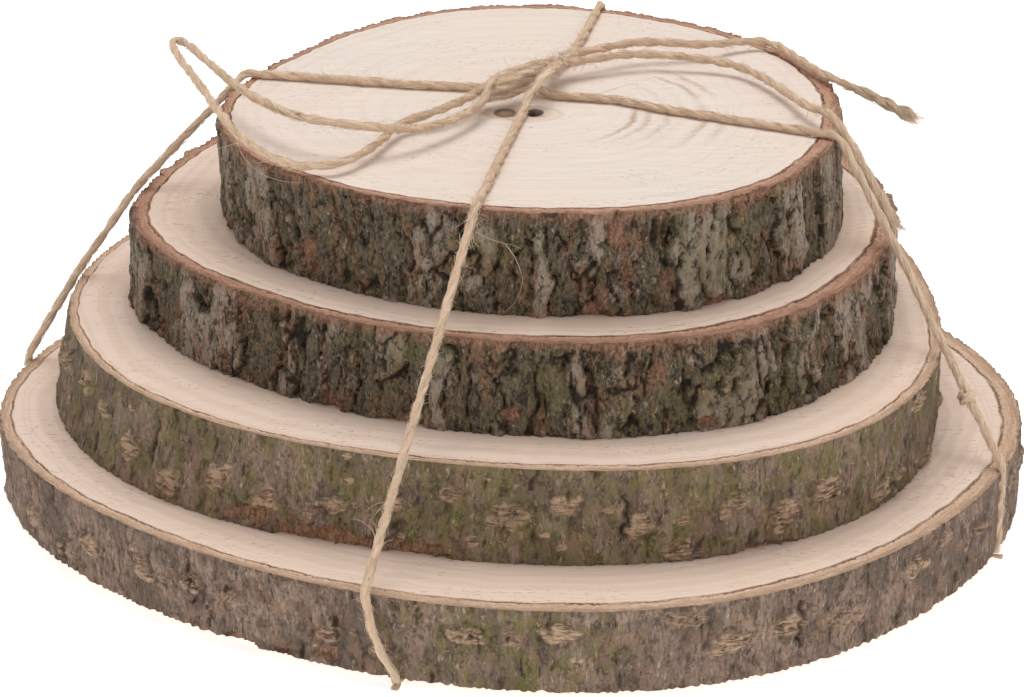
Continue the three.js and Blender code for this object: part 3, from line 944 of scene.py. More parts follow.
def add_hair(made, draw, start, tangent, normal, binormal, settings, forward=False):
    """One loose fibre that leaves the twine at a low angle and curls."""
    around = draw.uniform(0, 2 * math.pi)
    out = math.cos(around) * normal + math.sin(around) * binormal
    long = draw.random() < 0.025
    length = draw.uniform(5, 11) * MM if long else draw.uniform(1, 4) * MM
    if forward:
        length = draw.uniform(1.5, 4.5) * MM
    way = tangent if forward or draw.random() < 0.5 else -tangent
    lift = draw.uniform(0, 0.35) if forward else draw.uniform(0.08, 0.6)
    heading = Vector(way + lift * out).normalized()
    steps = 11 if long else 5
    curl = Vector((draw.gauss(0, 1), draw.gauss(0, 1), draw.gauss(0, 0.7))) * draw.uniform(0.15, 0.6)
    if forward:
        curl *= 0.3
    places = [Vector(start + out * settings.diameter * draw.uniform(0.1 if forward else 0.3, 0.44))]
    for _ in range(steps):
        places.append(places[-1] + heading * (length / steps))
        curl = (curl + Vector((draw.gauss(0, 0.15), draw.gauss(0, 0.15), draw.gauss(0, 0.15)))) * 0.95
        heading = (heading + curl * 0.6).normalized()
    add_fibre(made, places, draw.uniform(0.04, 0.075) * MM * (1.5 if forward else 1), around)


def make_node(tree, kind, inputs=None, **settings):
    made = tree.nodes.new(kind)
    for name, value in settings.items():
        setattr(made, name, value)
    for name, value in (inputs or {}).items():
        connect(tree, value, made.inputs[name])
    return made


def connect(tree, value, socket):
    """Links an output to a socket, or sets the socket's own value."""
    if isinstance(value, bpy.types.NodeSocket):
        tree.links.new(value, socket)
    else:
        socket.default_value = value


def math_node(tree, operation, *values):
    return make_node(tree, "ShaderNodeMath", dict(enumerate(values)), operation=operation).outputs[0]


def times(tree, first, second):
    return math_node(tree, "MULTIPLY", first, second)


def vector_node(tree, operation, *values):
    made = make_node(tree, "ShaderNodeVectorMath", dict(enumerate(values)), operation=operation)
    return made.outputs["Value" if operation == "LENGTH" else "Vector"]


def blend_colours(tree, share, low, high, how="MIX"):
    colours = [value if isinstance(value, bpy.types.NodeSocket) else (*value, 1) for value in (low, high)]
    inputs = {0: share, 6: colours[0], 7: colours[1]}
    return make_node(tree, "ShaderNodeMix", inputs, data_type="RGBA", blend_type=how).outputs[2]


def layered(tree, base, *layers):
    """Lays colours over a base one after the other, each by its own share."""
    for share, colour in layers:
        base = blend_colours(tree, share, base, colour)
    return base


def tinted(colour, *factors):
    return tuple(part * factor for part, factor in zip(colour, factors))


def stored(tree, name, output="Fac"):
    """What a piece's mesh keeps under a name for each vertex."""
    made = make_node(tree, "ShaderNodeAttribute", attribute_name=name, attribute_type="GEOMETRY")
    return made.outputs[output]


def mapped(tree, vector, scale, offset=(0, 0, 0)):
    inputs = {"Vector": vector, "Scale": scale, "Location": offset}
    return make_node(tree, "ShaderNodeMapping", inputs).outputs[0]


def object_place(tree, scale=(1, 1, 1), offset=(0, 0, 0)):
    """Object coordinates counted in millimetres, stretched by a scale for each axis."""
    place = make_node(tree, "ShaderNodeTexCoord").outputs["Object"]
    return mapped(tree, place, [size / MM for size in scale], offset)


def noise_node(tree, vector, scale=1.0, detail=2.0, roughness=0.55, distortion=0.0):
    inputs = {"Vector": vector, "Scale": scale, "Detail": detail, "Roughness": roughness}
    inputs["Distortion"] = distortion
    return make_node(tree, "ShaderNodeTexNoise", inputs).outputs["Fac"]


def place_noise(tree, scale, detail, roughness, offset=(0, 0, 0), distortion=0.0):
    """Noise that stays where it is on the object, with a scale in lumps for each millimetre."""
    return noise_node(tree, object_place(tree, scale, offset), 1, detail, roughness, distortion)


def ramp(tree, value, *stops):
    """Maps a value through stops, each a place and either a grey or a colour."""
    made = make_node(tree, "ShaderNodeValToRGB", {"Fac": value})
    elements = made.color_ramp.elements
    for place, _ in stops[1:-1]:
        elements.new(place)
    elements[0].position = stops[0][0]
    elements[len(stops) - 1].position = stops[-1][0]
    for element, (_, colour) in zip(elements, stops):
        element.color = (colour, colour, colour, 1) if isinstance(colour, (int, float)) else (*colour, 1)
    return made.outputs["Color"]


def add_bump(tree, shader, height, strength, distance):
    inputs = {"Height": height, "Strength": strength, "Distance": distance * MM}
    bump = make_node(tree, "ShaderNodeBump", inputs)
    connect(tree, bump.outputs[0], shader.inputs["Normal"])


def new_material(name, roughness):
    material = bpy.data.materials.new(name)
    material.use_nodes = True
    shader = material.node_tree.nodes["Principled BSDF"]
    shader.inputs["Roughness"].default_value = roughness
    shader.inputs["Specular IOR Level"].default_value = 0.25
    return material, material.node_tree, shader


def new_group(name, inputs):
    """An empty shader node group with named number inputs, as its tree and what it is given."""
    tree = bpy.data.node_groups.new(name, "ShaderNodeTree")
    for label, default in inputs.items():
        socket = tree.interface.new_socket(label, in_out="INPUT", socket_type="NodeSocketFloat")
        socket.default_value = default
    return tree, tree.nodes.new("NodeGroupInput").outputs


def give_results(tree, **results):
    """Names a group's results and connects them."""
    for label in results:
        tree.interface.new_socket(label, in_out="OUTPUT", socket_type="NodeSocketFloat")
    result = tree.nodes.new("NodeGroupOutput")
    for label, value in results.items():
        connect(tree, value, result.inputs[label])


def use_group(tree, name, **inputs):
    """The outputs of a node group that is placed in a material."""
    made = tree.nodes.new("ShaderNodeGroup")
    made.node_tree = bpy.data.node_groups[name]
    for label, value in inputs.items():
        connect(tree, value, made.inputs[label])
    return made.outputs


def build_grit_group():
    """Fine mottling for bark: light flecks, broad patches and a small uneven height."""
    tree, given = new_group("Bark grit", {"upright": 1.0})
    squeeze = make_node(tree, "ShaderNodeCombineXYZ", {"X": 1.0, "Y": 1.0, "Z": given["upright"]})
    scaled = vector_node(tree, "MULTIPLY", object_place(tree), squeeze.outputs[0])
    flecks = ramp(tree, noise_node(tree, scaled, 0.9, 4, 0.7), (0.6, 0), (0.68, 1))
    patches_of_tone = ramp(tree, noise_node(tree, scaled, 0.2, 4, 0.65), (0.38, 0), (0.62, 1))
    grain = noise_node(tree, scaled, 1.5, 5, 0.75, 0.4)
    give_results(tree, Flecks=flecks, Patches=patches_of_tone, Grain=grain)


def build_crack_group():
    """Fine broken cracks and the stepped edges of flakes, in cells of a given width and length."""
    tree, given = new_group("Bark cracks", {"width": 3.0, "length": 6.0})
    place = object_place(tree)
    inputs = {"Vector": place, "Scale": 0.5, "Detail": 5.0, "Roughness": 0.7}
    swirl = make_node(tree, "ShaderNodeTexNoise", inputs).outputs["Color"]
    shift = vector_node(tree, "MULTIPLY_ADD", swirl, (5, 5, 5), place)
    inputs = {"X": given["width"], "Y": given["width"], "Z": given["length"]}
    cells = vector_node(tree, "DIVIDE", shift, make_node(tree, "ShaderNodeCombineXYZ", inputs).outputs[0])
    inputs = {"Vector": cells, "Scale": 1.0}
    edge = make_node(tree, "ShaderNodeTexVoronoi", inputs, feature="DISTANCE_TO_EDGE").outputs["Distance"]
    broken = place_noise(tree, (0.45, 0.45, 0.3), 3, 0.6, (5, 5, 5))
    crack = times(tree, ramp(tree, edge, (0.0, 1), (0.085, 0)), ramp(tree, broken, (0.47, 0), (0.58, 1)))
    steps = math_node(tree, "SNAP", noise_node(tree, cells, 0.8, 5, 0.65), 0.06)
    give_results(tree, Crack=crack, Steps=times(tree, steps, 3.0))


def build_saw_group():
    """The fine straight marks that a band saw leaves, with short open pores among them."""
    tree, given = new_group("Saw marks", {"strength": 1.0})
    long = place_noise(tree, (0.07, 1.9, 0.2), 4, 0.65, distortion=0.2)
    broad = place_noise(tree, (0.012, 0.3, 0.2), 2, 0.5)
    both = math_node(tree, "MULTIPLY_ADD", long, 0.8, times(tree, broad, 0.2))
    marks = times(tree, math_node(tree, "SUBTRACT", both, 0.5), given["strength"])
    dashes = ramp(tree, place_noise(tree, (0.5, 1.5, 0.2), 2, 0.6), (0.61, 0), (0.67, 1))
    zones = ramp(tree, place_noise(tree, (0.045, 0.1, 0.2), 2, 0.5), (0.48, 0), (0.58, 1))
    give_results(tree, Marks=marks, Pores=times(tree, dashes, zones))


def build_ring_group():
    """Growth rings as uneven bands at a reach from the pith, from 0 in early to 1 in late wood."""
    tree, given = new_group("Growth rings", {"reach": 0.0, "spacing": 5.0})
    waver = place_noise(tree, (0.04, 0.04, 0.04), 2, 0.5)
    count = math_node(tree, "DIVIDE", given["reach"], given["spacing"])
    wavy = math_node(tree, "MULTIPLY_ADD", waver, 1.1, count)
    inputs = {"W": wavy, "Scale": 1.6, "Detail": 2.0}
    bands = make_node(tree, "ShaderNodeTexNoise", inputs, noise_dimensions="1D").outputs["Fac"]
    give_results(tree, Late=ramp(tree, bands, (0.45, 0), (0.62, 1)))


def bark_relief(tree, shader, cracks, grain, amount):
    """Bumps from the cracks, the flake steps and the grain, finer than the mesh can carry."""
    steps = math_node(tree, "MULTIPLY_ADD", grain, 0.55, cracks["Steps"])
    add_bump(tree, shader, math_node(tree, "MULTIPLY_ADD", cracks["Crack"], -0.7, steps), amount, 0.6)


def torn_layer(tree, grain, dark, light):
    """Where bark is torn off, its fresh inner layer shows."""
    return stored(tree, "torn"), blend_colours(tree, ramp(tree, grain, (0.36, 0), (0.62, 1)), dark, light)


def furrowed_bark_material(name, mid):
    """Grey flaking plates, with olive and red-brown layers between them and dark fissures, whose darkness is
    partly their own bark and partly painted shade.
    """
    material, tree, shader = new_material(name, 0.93)
    grit = use_group(tree, "Bark grit", upright=0.45)
    cracks = use_group(tree, "Bark cracks", width=3.2, length=11.0)
    grain = grit["Grain"]
    pale = tinted(mid, 1.16, 1.2, 1.25)
    plates = blend_colours(tree, ramp(tree, grain, (0.38, 0), (0.52, 1)), tinted(mid, 0.5, 0.5, 0.5), pale)
    shade = ramp(tree, grain, (0.42, 0), (0.6, 1))
    low_plates = blend_colours(tree, shade, (0.052, 0.04, 0.026), (0.175, 0.138, 0.082))
    tone = math_node(tree, "MULTIPLY_ADD", grain, 0.3, stored(tree, "tone"))
    reds = ramp(tree, place_noise(tree, (0.2, 0.2, 0.07), 4, 0.65, (3, 5, 7)), (0.44, 0), (0.58, 1))
    between = blend_colours(tree, reds, (0.18, 0.145, 0.065), (0.38, 0.19, 0.11))
    between = blend_colours(tree, ramp(tree, grain, (0.42, 0.8), (0.56, 0)), between, (0.055, 0.04, 0.024))
    opened = ramp(tree, place_noise(tree, (0.28, 0.28, 0.07), 4, 0.6, (9, 1, 4)), (0.53, 0), (0.6, 0.9))
    valley = math_node(tree, "MAXIMUM", stored(tree, "valley"), opened)
    colour = layered(
        tree,
        plates,
        (times(tree, grit["Patches"], 0.35), mid),
        (ramp(tree, tone, (0.6, 0.85), (0.7, 0)), low_plates),
        (times(tree, valley, 0.85), between),
        (times(tree, stored(tree, "moss"), ramp(tree, grain, (0.42, 0.1), (0.6, 0.6))), (0.17, 0.15, 0.06)),
        (times(tree, grit["Flecks"], 0.75), (0.56, 0.43, 0.31)),
        # Painted shade: the fine cracks and the fissures are laid nearly black, on top of their darker bark.
        (times(tree, cracks["Crack"], 0.7), (0.026, 0.019, 0.013)),
        (ramp(tree, stored(tree, "fissure_tone_and_shade"), (0.35, 0), (0.85, 0.9)), (0.02, 0.014, 0.01)),
        torn_layer(tree, grain, (0.15, 0.07, 0.042), (0.45, 0.25, 0.165)),
    )
    connect(tree, colour, shader.inputs["Base Color"])
    bark_relief(tree, shader, cracks, grain, 1.0)
    return material


def warty_bark_material(name, mid):
    """Grey bark with fine upright streaks, olive growth and tan warts with folds across them."""
    material, tree, shader = new_material(name, 0.92)
    grit = use_group(tree, "Bark grit", upright=0.34)
    cracks = use_group(tree, "Bark cracks", width=1.7, length=11.0)
    grain = grit["Grain"]
    dark = tinted(mid, 0.45, 0.45, 0.45)
    streaks = blend_colours(tree, ramp(tree, grain, (0.38, 0), (0.6, 1)), dark, tinted(mid, 1.5, 1.5, 1.5))
    greens = place_noise(tree, (0.2, 0.2, 0.12), 4, 0.7, (11, 2, 1))
    mossy = times(tree, stored(tree, "moss"), ramp(tree, greens, (0.4, 0), (0.58, 1)))
    browns = place_noise(tree, (0.16, 0.16, 0.16), 5, 0.7, (4, 8, 3))
    folds = ramp(tree, place_noise(tree, (0.3, 0.3, 1.5), 4, 0.7, (2, 2, 2), 0.5), (0.4, 0), (0.54, 1))
    tan = blend_colours(tree, folds, (0.16, 0.09, 0.048), (0.62, 0.42, 0.28))
    colour = layered(
        tree,
        streaks,
        (times(tree, grit["Patches"], 0.45), mid),
        (ramp(tree, stored(tree, "tone"), (0.3, 0.65), (0.5, 0)), dark),
        (times(tree, stored(tree, "valley"), 0.45), dark),
        (times(tree, mossy, ramp(tree, grain, (0.36, 0.3), (0.58, 0.8))), (0.21, 0.19, 0.045)),
        (ramp(tree, browns, (0.5, 0), (0.66, 0.6)), (0.36, 0.215, 0.14)),
        # Painted shade: the fine cracks, the wart grooves and the low wrinkles are laid near black, on top of
        # their darker bark.
        (times(tree, cracks["Crack"], 0.45), (0.05, 0.034, 0.022)),
        (times(tree, grit["Flecks"], 0.6), (0.66, 0.51, 0.38)),
        (ramp(tree, stored(tree, "wart"), (0.22, 0), (0.7, 0.88)), tan),
        (ramp(tree, stored(tree, "fissure_tone_and_shade"), (0.35, 0), (0.95, 0.8)), (0.04, 0.026, 0.017)),
        torn_layer(tree, grain, (0.19, 0.085, 0.047), (0.54, 0.32, 0.20)),
    )
    connect(tree, colour, shader.inputs["Base Color"])
    bark_relief(tree, shader, cracks, grain, 0.8)
    return material


def cut_bark_material(name, inner, middle, outer, line):
    """The sawn edge of the bark: a thin dark line at the wood, then fibrous layers outwards."""
    material, tree, shader = new_material(name, 0.9)
    layers = mapped(tree, stored(tree, "layers", "Vector"), (1.3, 0.07, 1))
    fibrous = noise_node(tree, layers, 1.6, 4, 0.7, 0.1)
    patchy = place_noise(tree, (0.12, 0.12, 0.12), 3, 0.6)
    specks = place_noise(tree, (0.9, 0.9, 0.9), 4, 0.7)
    uneven = math_node(tree, "MULTIPLY_ADD", specks, 0.4, -0.2)
    share = math_node(tree, "ADD", stored(tree, "cut_share"), uneven)
    lines = ((0.0, inner), (0.1, line), (0.16, line), (0.24, inner), (0.62, middle), (0.98, outer))
    pale = tuple(min(1, 1.25 * part + 0.02) for part in inner)
    colour = layered(
        tree,
        ramp(tree, share, *lines),
        (ramp(tree, patchy, (0.45, 0), (0.65, 0.5)), middle),
        (ramp(tree, fibrous, (0.5, 0), (0.62, 0.5)), pale),
        (ramp(tree, fibrous, (0.36, 0.5), (0.46, 0)), outer),
        (ramp(tree, specks, (0.36, 0.5), (0.48, 0)), outer),
    )
    connect(tree, colour, shader.inputs["Base Color"])
    add_bump(tree, shader, specks, 0.8, 0.5)
    return material


def near_spot(tree, middle, half_size):
    """How far a place is from a spot on the face, from 0 at its middle to 0.5 at its edge."""
    scale = [0.5 / half for half in half_size]
    offset = [-0.5 * spot / half for spot, half in zip(middle, half_size)]
    return vector_node(tree, "LENGTH", object_place(tree, (*scale, 0), (*offset, 0)))


def sawn_wood_material(name, wood, ring_strength, marks=None):
    """Pale sawn wood with growth rings, saw marks and pores."""
    material, tree, shader = new_material(name, 0.7)
    rings = use_group(tree, "Growth rings", reach=stored(tree, "ring_reach"), spacing=5.0)
    saw = use_group(tree, "Saw marks", strength=1.0 if marks else 0.7)
    warm = ramp(tree, place_noise(tree, (0.018, 0.03, 0.02), 2, 0.5, (2, 4, 0)), (0.4, 0), (0.7, 0.5))
    colour = layered(
        tree,
        wood,
        (times(tree, rings["Late"], ring_strength), tinted(wood, 0.86, 0.78, 0.68)),
        (warm, tinted(wood, 1.0, 0.95, 0.86)),
    )
    if marks:
        colour = marks(tree, colour, wood)
    marked = math_node(tree, "MULTIPLY_ADD", saw["Marks"], 0.5, 1.0)
    inputs = {"Red": marked, "Green": marked, "Blue": marked}
    grey = make_node(tree, "ShaderNodeCombineColor", inputs).outputs[0]
    colour = blend_colours(tree, 1.0, colour, grey, "MULTIPLY")
    colour = blend_colours(tree, times(tree, saw["Pores"], 0.7), colour, tinted(wood, 0.5, 0.42, 0.34))
    connect(tree, colour, shader.inputs["Base Color"])
    add_bump(tree, shader, saw["Marks"], 0.35, 0.3)
    return material


def top_face_marks(tree, colour, wood):
    """The stained arcs right of the pith, the brown knot beside its hole, painted shade in the hole and the
    grain round both.
    """
    brown = tinted(wood, 0.6, 0.46, 0.35)
    waver = place_noise(tree, (0.12, 0.12, 0.1), 2, 0.5, (4, 0, 0))
    pith = SLICES["slice_top"]["pith"]
    reach = math_node(tree, "MULTIPLY_ADD", waver, 0.04, near_spot(tree, pith, (50, 50)))
    stops = [(0.0, 0)]
    for middle, strength in STAINED_ARCS:
        stops += [(middle + 0.004, 0), (middle + 0.02, strength), (middle + 0.031, 0)]
    below = ramp(tree, near_spot(tree, (36, 2), (27, 22)), (0.15, 1), (0.48, 0))
    above = ramp(tree, near_spot(tree, (43, 31), (14, 16)), (0.2, 0.9), (0.48, 0))
    hatched = ramp(tree, place_noise(tree, (0.5, 1.1, 0.1), 3, 0.7, (1, 0, 0)), (0.34, 0.3), (0.54, 1))
    arcs = times(tree, math_node(tree, "MAXIMUM", below, above), ramp(tree, reach, *stops, (1, 0)))
    eye = near_spot(tree, (2.6, 9.2), (13, 9))
    lines = math_node(tree, "SINE", math_node(tree, "MULTIPLY_ADD", waver, 14, times(tree, eye, 40)))
    knot = near_spot(tree, (-1.1, 9.5), (2.9, 3.4))
    knot_share = ramp(tree, knot, (0.1, 0.6), (0.3, 0.8), (0.42, 0.97), (0.58, 0))
    # Painted shade: the open pith hole is laid nearly black inside and a little past its rim.
    hole = near_spot(tree, pith, (2.0, 3.1))
    return layered(
        tree,
        colour,
        (times(tree, arcs, hatched), brown),
        (times(tree, ramp(tree, lines, (0.1, 0), (0.95, 1)), ramp(tree, eye, (0.15, 0.8), (0.52, 0))), brown),
        (ramp(tree, eye, (0.12, 0.75), (0.42, 0)), brown),
        (knot_share, tinted(wood, 0.17, 0.105, 0.065)),
        # painted shade in the pith hole
        (ramp(tree, hole, (0.36, 1), (0.6, 0)), (0.05, 0.03, 0.018)),
    )


def jute_material(name, colour, contrast, bump_height):
    """Twisted jute: streaks along the fibres from pale gold to brown."""
    material, tree, shader = new_material(name, 0.9)
    fibre = stored(tree, "fibre", "Vector")
    streaks = noise_node(tree, mapped(tree, fibre, (8, 8, 0.35)), 1.6, 4, 0.75)
    tone = noise_node(tree, mapped(tree, fibre, (0.5, 0.5, 0.09)), 1, 2, 0.5)
    light = tuple(min(0.97, part * (1 + 0.3 * contrast)) for part in colour)
    dark = tuple(part * (1 - contrast * share) for part, share in zip(colour, (0.95, 1.1, 1.2)))
    shade = ramp(tree, streaks, (0.39, dark), (0.5, colour), (0.6, light))
    shade = blend_colours(tree, ramp(tree, tone, (0.4, 0), (0.65, 0.5)), shade, light)
    connect(tree, shade, shader.inputs["Base Color"])
    shader.inputs["Sheen Weight"].default_value = 0.5
    shader.inputs["Sheen Tint"].default_value = (*light, 1)
    add_bump(tree, shader, streaks, 0.8, bump_height)
    return material


def shared_material(name, build, *values):
    """The material of that name, built the first time that it is asked for."""
    return bpy.data.materials.get(name) or build(name, *values)


def jute(context, kind):
    """One of the kinds of jute, which differ in how pale, how streaky and how rough they are."""
    paler, contrast, bump_height = JUTE_KINDS[kind]
    colour = context.scene.twine_settings.colour
    if paler:
        colour = [min(0.95, part + paler) for part in colour]
    return shared_material(f"Jute {kind}", jute_material, tuple(colour), contrast, bump_height)


def add_twine(node, routes, settings, seed, plies_jute, hairs_jute, density=1.0, looseness=0.45, **shape):
    """The plies and the loose fibres of one stretch of twine, each a piece of its own."""
    piece = mesh_piece(f"scene_{node}", *twine_mesh(routes, settings, seed, **shape))
    finished(piece, node, plies_jute)
    loose = {"strays": STRAYS.get(node, ()), "tufts": TUFTS.get(node, ()), "looseness": looseness}
    hairs = hair_mesh(f"scene_{node}_hairs", routes, settings, seed, density, **shape, **loose)
    finished(hairs, None, hairs_jute)
    return piece, hairs


class WOODSLICE_OT_camera(bpy.types.Operator):
    """Add the camera, which looks down on the stack from the front"""

    bl_idname = "woodslice.camera"
    bl_label = "Camera"

    def execute(self, context):
        deselect_all()
        bpy.ops.object.camera_add(location=(0.0006, -0.9343, 0.4129), rotation=(math.radians(68), 0, 0))
        camera = context.object
        camera.name = "Camera"
        camera.data.sensor_fit = "HORIZONTAL"
        camera.data.sensor_width = 36
        camera.data.lens = 140.6
        camera.data.clip_end = 20
        camera.data.dof.use_dof = False
        context.scene.camera = camera
        return {"FINISHED"}


class WOODSLICE_OT_loose_twine(bpy.types.Operator):
    """Add the bow's loop and its two cut ends"""

    bl_idname = "woodslice.loose_twine"
    bl_label = "Loose twine"

    def execute(self, context):
        settings = context.scene.twine_settings
        far_ends = {"twine_loop": "object", "twine_long_end": "bare", "twine_short_end": "bare"}
        for number, (node, corners) in enumerate(LOOSE_TWINE.items()):
            route = rounded_route(corners, LOOSE_BEND, STEP_ALONG)
            fray = 1.2 if far_ends[node] == "bare" else 0
            looks = (jute(context, "twine"), jute(context, "hairs"))
            piece, hairs = add_twine(node, [route], settings, 20 + number, *looks, fray=fray)
        return {"FINISHED"}


class WOODSLICE_OT_slices(bpy.types.Operator):
    """Add the four slices with their bark and sawn faces"""

    bl_idname = "woodslice.slices"
    bl_label = "Slices"

    def execute(self, context):
        settings = context.scene.slice_settings
        noise.seed_set(NOISE_SEED)
        build_grit_group()
        build_crack_group()
        build_saw_group()
        build_ring_group()
        twine_points = [
            Vector(point)
            for corners in TAUT_TWINE.values()
            for point in rounded_route(corners, TIGHT_BEND, 0.3 * MM)
        ]
        for node, piece in SLICES.items():
            low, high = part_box(node)[0][2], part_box(node)[1][2]
            columns = 4 * round(math.pi / 2 * piece["radius"] / CELL_WIDTH)
            rows = round((high - low) / MM / CELL_HEIGHT)
            obj = slice_blank(f"scene_{node}", columns, rows)
            for material in self.materials(context, node, piece):
                obj.data.materials.append(material)
            shape_slice(obj, piece, low, high, settings, twine_points)
            deselect_all()
            obj.select_set(True)
            context.view_layer.objects.active = obj
            bpy.ops.object.shade_smooth_by_angle(angle=math.radians(62))
            finished(obj, node)
        return {"FINISHED"}

    def materials(self, context, node, piece):
        """The bark, the cut bark and the sawn wood of one slice."""
        settings = context.scene.slice_settings
        if piece["bark"] == "furrowed":
            bark = shared_material("Dark furrowed bark", furrowed_bark_material, tuple(settings.dark_bark))
            layers = ((0.56, 0.345, 0.235), (0.44, 0.23, 0.15), (0.20, 0.10, 0.065), (0.12, 0.05, 0.03))
            cut = shared_material("Cut reddish bark", cut_bark_material, *layers)
        else:
            bark = shared_material("Olive warty bark", warty_bark_material, tuple(settings.olive_bark))
            layers = ((0.70, 0.50, 0.36), (0.57, 0.37, 0.25), (0.36, 0.235, 0.155), (0.17, 0.08, 0.045))
            cut = shared_material("Cut tan bark", cut_bark_material, *layers)
        look = ("Sawn wood", sawn_wood_material, tinted(settings.wood, 1.02, 0.93, 0.87), 0.4)
        if node == "slice_top":
            own = "Sawn wood of the top slice"
            look = (own, sawn_wood_material, tuple(settings.wood), 0.22, top_face_marks)
        return bark, cut, shared_material(*look)


class WOODSLICE_OT_taut_twine(bpy.types.Operator):
    """Add the four taut strands over the rims, with the small knot in one of them"""

    bl_idname = "woodslice.taut_twine"
    bl_label = "Taut twine"

    def execute(self, context):
        settings = context.scene.twine_settings
        for number, (node, corners) in enumerate(TAUT_TWINE.items()):
            routes = [rounded_route(corners, TIGHT_BEND, STEP_ALONG)]
            if node == "twine_right_strand":
                routes.append(self.small_knot(corners))
            add_twine(node, routes, settings, 40 + number, jute(context, "twine"), jute(context, "hairs"))
        return {"FINISHED"}

    def small_knot(self, corners):
        """A turn of twine round the strand, tipped so that it reads as an overhand knot."""
        along = np.array(corners[-2]) - np.array(corners[-3])
        along /= np.linalg.norm(along)
        first = np.cross(along, (0, 0, 1))
        first /= np.linalg.norm(first)
        second = np.cross(along, first)
        places = []
        for turn in np.linspace(-0.1, 1.25, 30) * 2 * math.pi:
            place = np.array(SMALL_KNOT_AT) + 1.5 * MM * (math.cos(turn) * first + math.sin(turn) * second)
            places.append(place + along * 0.45 * MM * (turn - math.pi) / 2)
        return np.array(places)


class WOODSLICE_OT_pressed_twine(bpy.types.Operator):
    """Add the twine that the stack's weight presses flat under the bottom slice"""

    bl_idname = "woodslice.pressed_twine"
    bl_label = "Pressed twine"

    def execute(self, context):
        settings = context.scene.twine_settings
        for number, node in enumerate(("twine_under_across", "twine_under_front", "twine_under_back")):
            twine = twine_mesh([self.middle_line(node)], settings, 60 + number, flat=0.5)
            finished(mesh_piece(f"scene_{node}", *twine), node, jute(context, "twine"))
        return {"FINISHED"}

    def middle_line(self, node):
        """The strip's middle line, from the two ends of the solid that are furthest apart."""
        places = coordinates(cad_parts[node].data)
        way = (1, -0.3) if node == "twine_under_across" else (0.2, 1)
        lean = places[:, 0] * way[0] + places[:, 1] * way[1]
        at_ends = (lean < lean.min() + 0.6 * MM, lean > lean.max() - 0.6 * MM)
        ends = [places[chosen].mean(axis=0) for chosen in at_ends]
        for end in ends:
            end[2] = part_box(node)[1][2] / 2
        return np.linspace(*ends, round(np.linalg.norm(ends[1] - ends[0]) / STEP_ALONG))


class WOODSLICE_OT_knot(bpy.types.Operator):
    """Add the knot and the root of the bow"""

    bl_idname = "woodslice.knot"
    bl_label = "Knot"

    def execute(self, context):
        settings = context.scene.twine_settings
        routes = [rounded_route(corners, LOOSE_BEND, 0.5 * MM) for corners in KNOT_TWINE]
        # Painted light: the knot gets the paler jute so that its self-shaded fibres read bright.
        look = jute(context, "of the knot")
        add_twine("twine_knot", routes, settings, 70, look, look, density=2.1, looseness=1.5, thin=0.9)
        return {"FINISHED"}


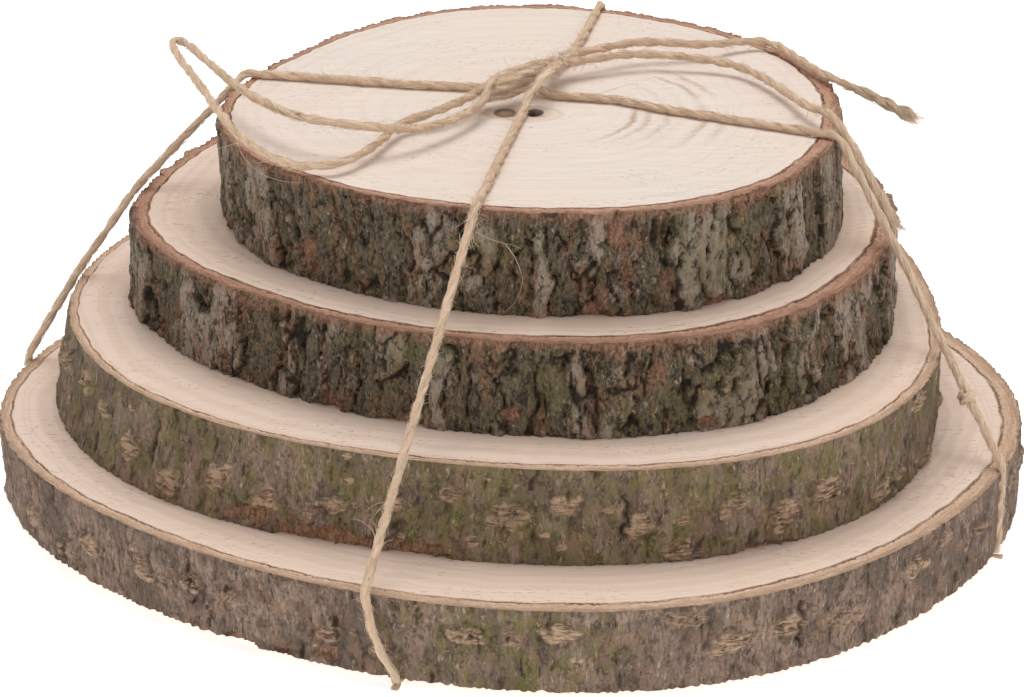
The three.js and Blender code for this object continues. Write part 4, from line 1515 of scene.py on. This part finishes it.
class WOODSLICE_OT_stage(bpy.types.Operator):
    """Add the pale floor and the soft studio light"""

    bl_idname = "woodslice.stage"
    bl_label = "Stage"

    def execute(self, context):
        settings = context.scene.stage_settings
        context.scene.view_settings.view_transform = "Standard"
        self.add_floor(tuple(settings.floor))
        self.add_world(settings.sky_light)
        self.add_light("Top light", (0.03, 0.42, 1.5), 1.05, settings.top_light)
        self.add_light("Front left light", (-0.9, -1.1, 0.7), 0.9, 0.14 * settings.top_light)
        self.add_light("Front right light", (1.0, -0.9, 0.7), 0.9, 0.24 * settings.top_light)
        return {"FINISHED"}

    def add_floor(self, colour):
        deselect_all()
        bpy.ops.mesh.primitive_plane_add(size=8)
        floor = bpy.context.object
        floor.name = "Floor"
        material, _, shader = new_material("Pale floor", 0.8)
        shader.inputs["Base Color"].default_value = (*colour, 1)
        shader.inputs["Emission Color"].default_value = (1, 1, 1, 1)
        shader.inputs["Emission Strength"].default_value = 0.6
        floor.data.materials.append(material)

    def add_world(self, strength):
        world = bpy.data.worlds.new("Studio")
        world.use_nodes = True
        world.node_tree.nodes["Background"].inputs["Color"].default_value = (1, 1, 1, 1)
        world.node_tree.nodes["Background"].inputs["Strength"].default_value = strength
        bpy.context.scene.world = world

    def add_light(self, name, place, size, power):
        deselect_all()
        bpy.ops.object.light_add(type="AREA", location=place)
        light = bpy.context.object
        light.name = name
        light.data.size = size
        light.data.energy = power
        aim = Vector((0, 0, 0.05)) - Vector(place)
        light.rotation_euler = aim.to_track_quat("-Z", "Y").to_euler()


class WOODSLICE_PT_panel(bpy.types.Panel):
    """The pieces of the stack and their settings"""

    bl_idname = "WOODSLICE_PT_panel"
    bl_label = "Tied wood slices"
    bl_space_type = "VIEW_3D"
    bl_region_type = "UI"
    bl_category = "Wood slices"

    def draw(self, context):
        layout = self.layout
        for operator in OPERATORS:
            layout.operator(operator.bl_idname)
        for name in SETTINGS:
            group = getattr(context.scene, name)
            for label in group.__annotations__:
                layout.prop(group, label)


OPERATORS = (
    WOODSLICE_OT_camera,
    WOODSLICE_OT_loose_twine,
    WOODSLICE_OT_slices,
    WOODSLICE_OT_taut_twine,
    WOODSLICE_OT_pressed_twine,
    WOODSLICE_OT_knot,
    WOODSLICE_OT_stage,
)
SETTINGS = {
    "slice_settings": SliceSettings,
    "twine_settings": TwineSettings,
    "stage_settings": StageSettings,
}


def register():
    for group in SETTINGS.values():
        bpy.utils.register_class(group)
    for name, group in SETTINGS.items():
        setattr(bpy.types.Scene, name, PointerProperty(type=group))
    for operator in OPERATORS:
        bpy.utils.register_class(operator)
    bpy.utils.register_class(WOODSLICE_PT_panel)


def unregister():
    bpy.utils.unregister_class(WOODSLICE_PT_panel)
    for operator in reversed(OPERATORS):
        bpy.utils.unregister_class(operator)
    for name, group in SETTINGS.items():
        delattr(bpy.types.Scene, name)
        bpy.utils.unregister_class(group)


def main():
    register()
    bpy.ops.woodslice.camera()
    bpy.ops.woodslice.loose_twine()
    bpy.ops.woodslice.slices()
    bpy.ops.woodslice.taut_twine()
    bpy.ops.woodslice.pressed_twine()
    bpy.ops.woodslice.knot()
    bpy.ops.woodslice.stage()


if __name__ == "__main__":
    main()
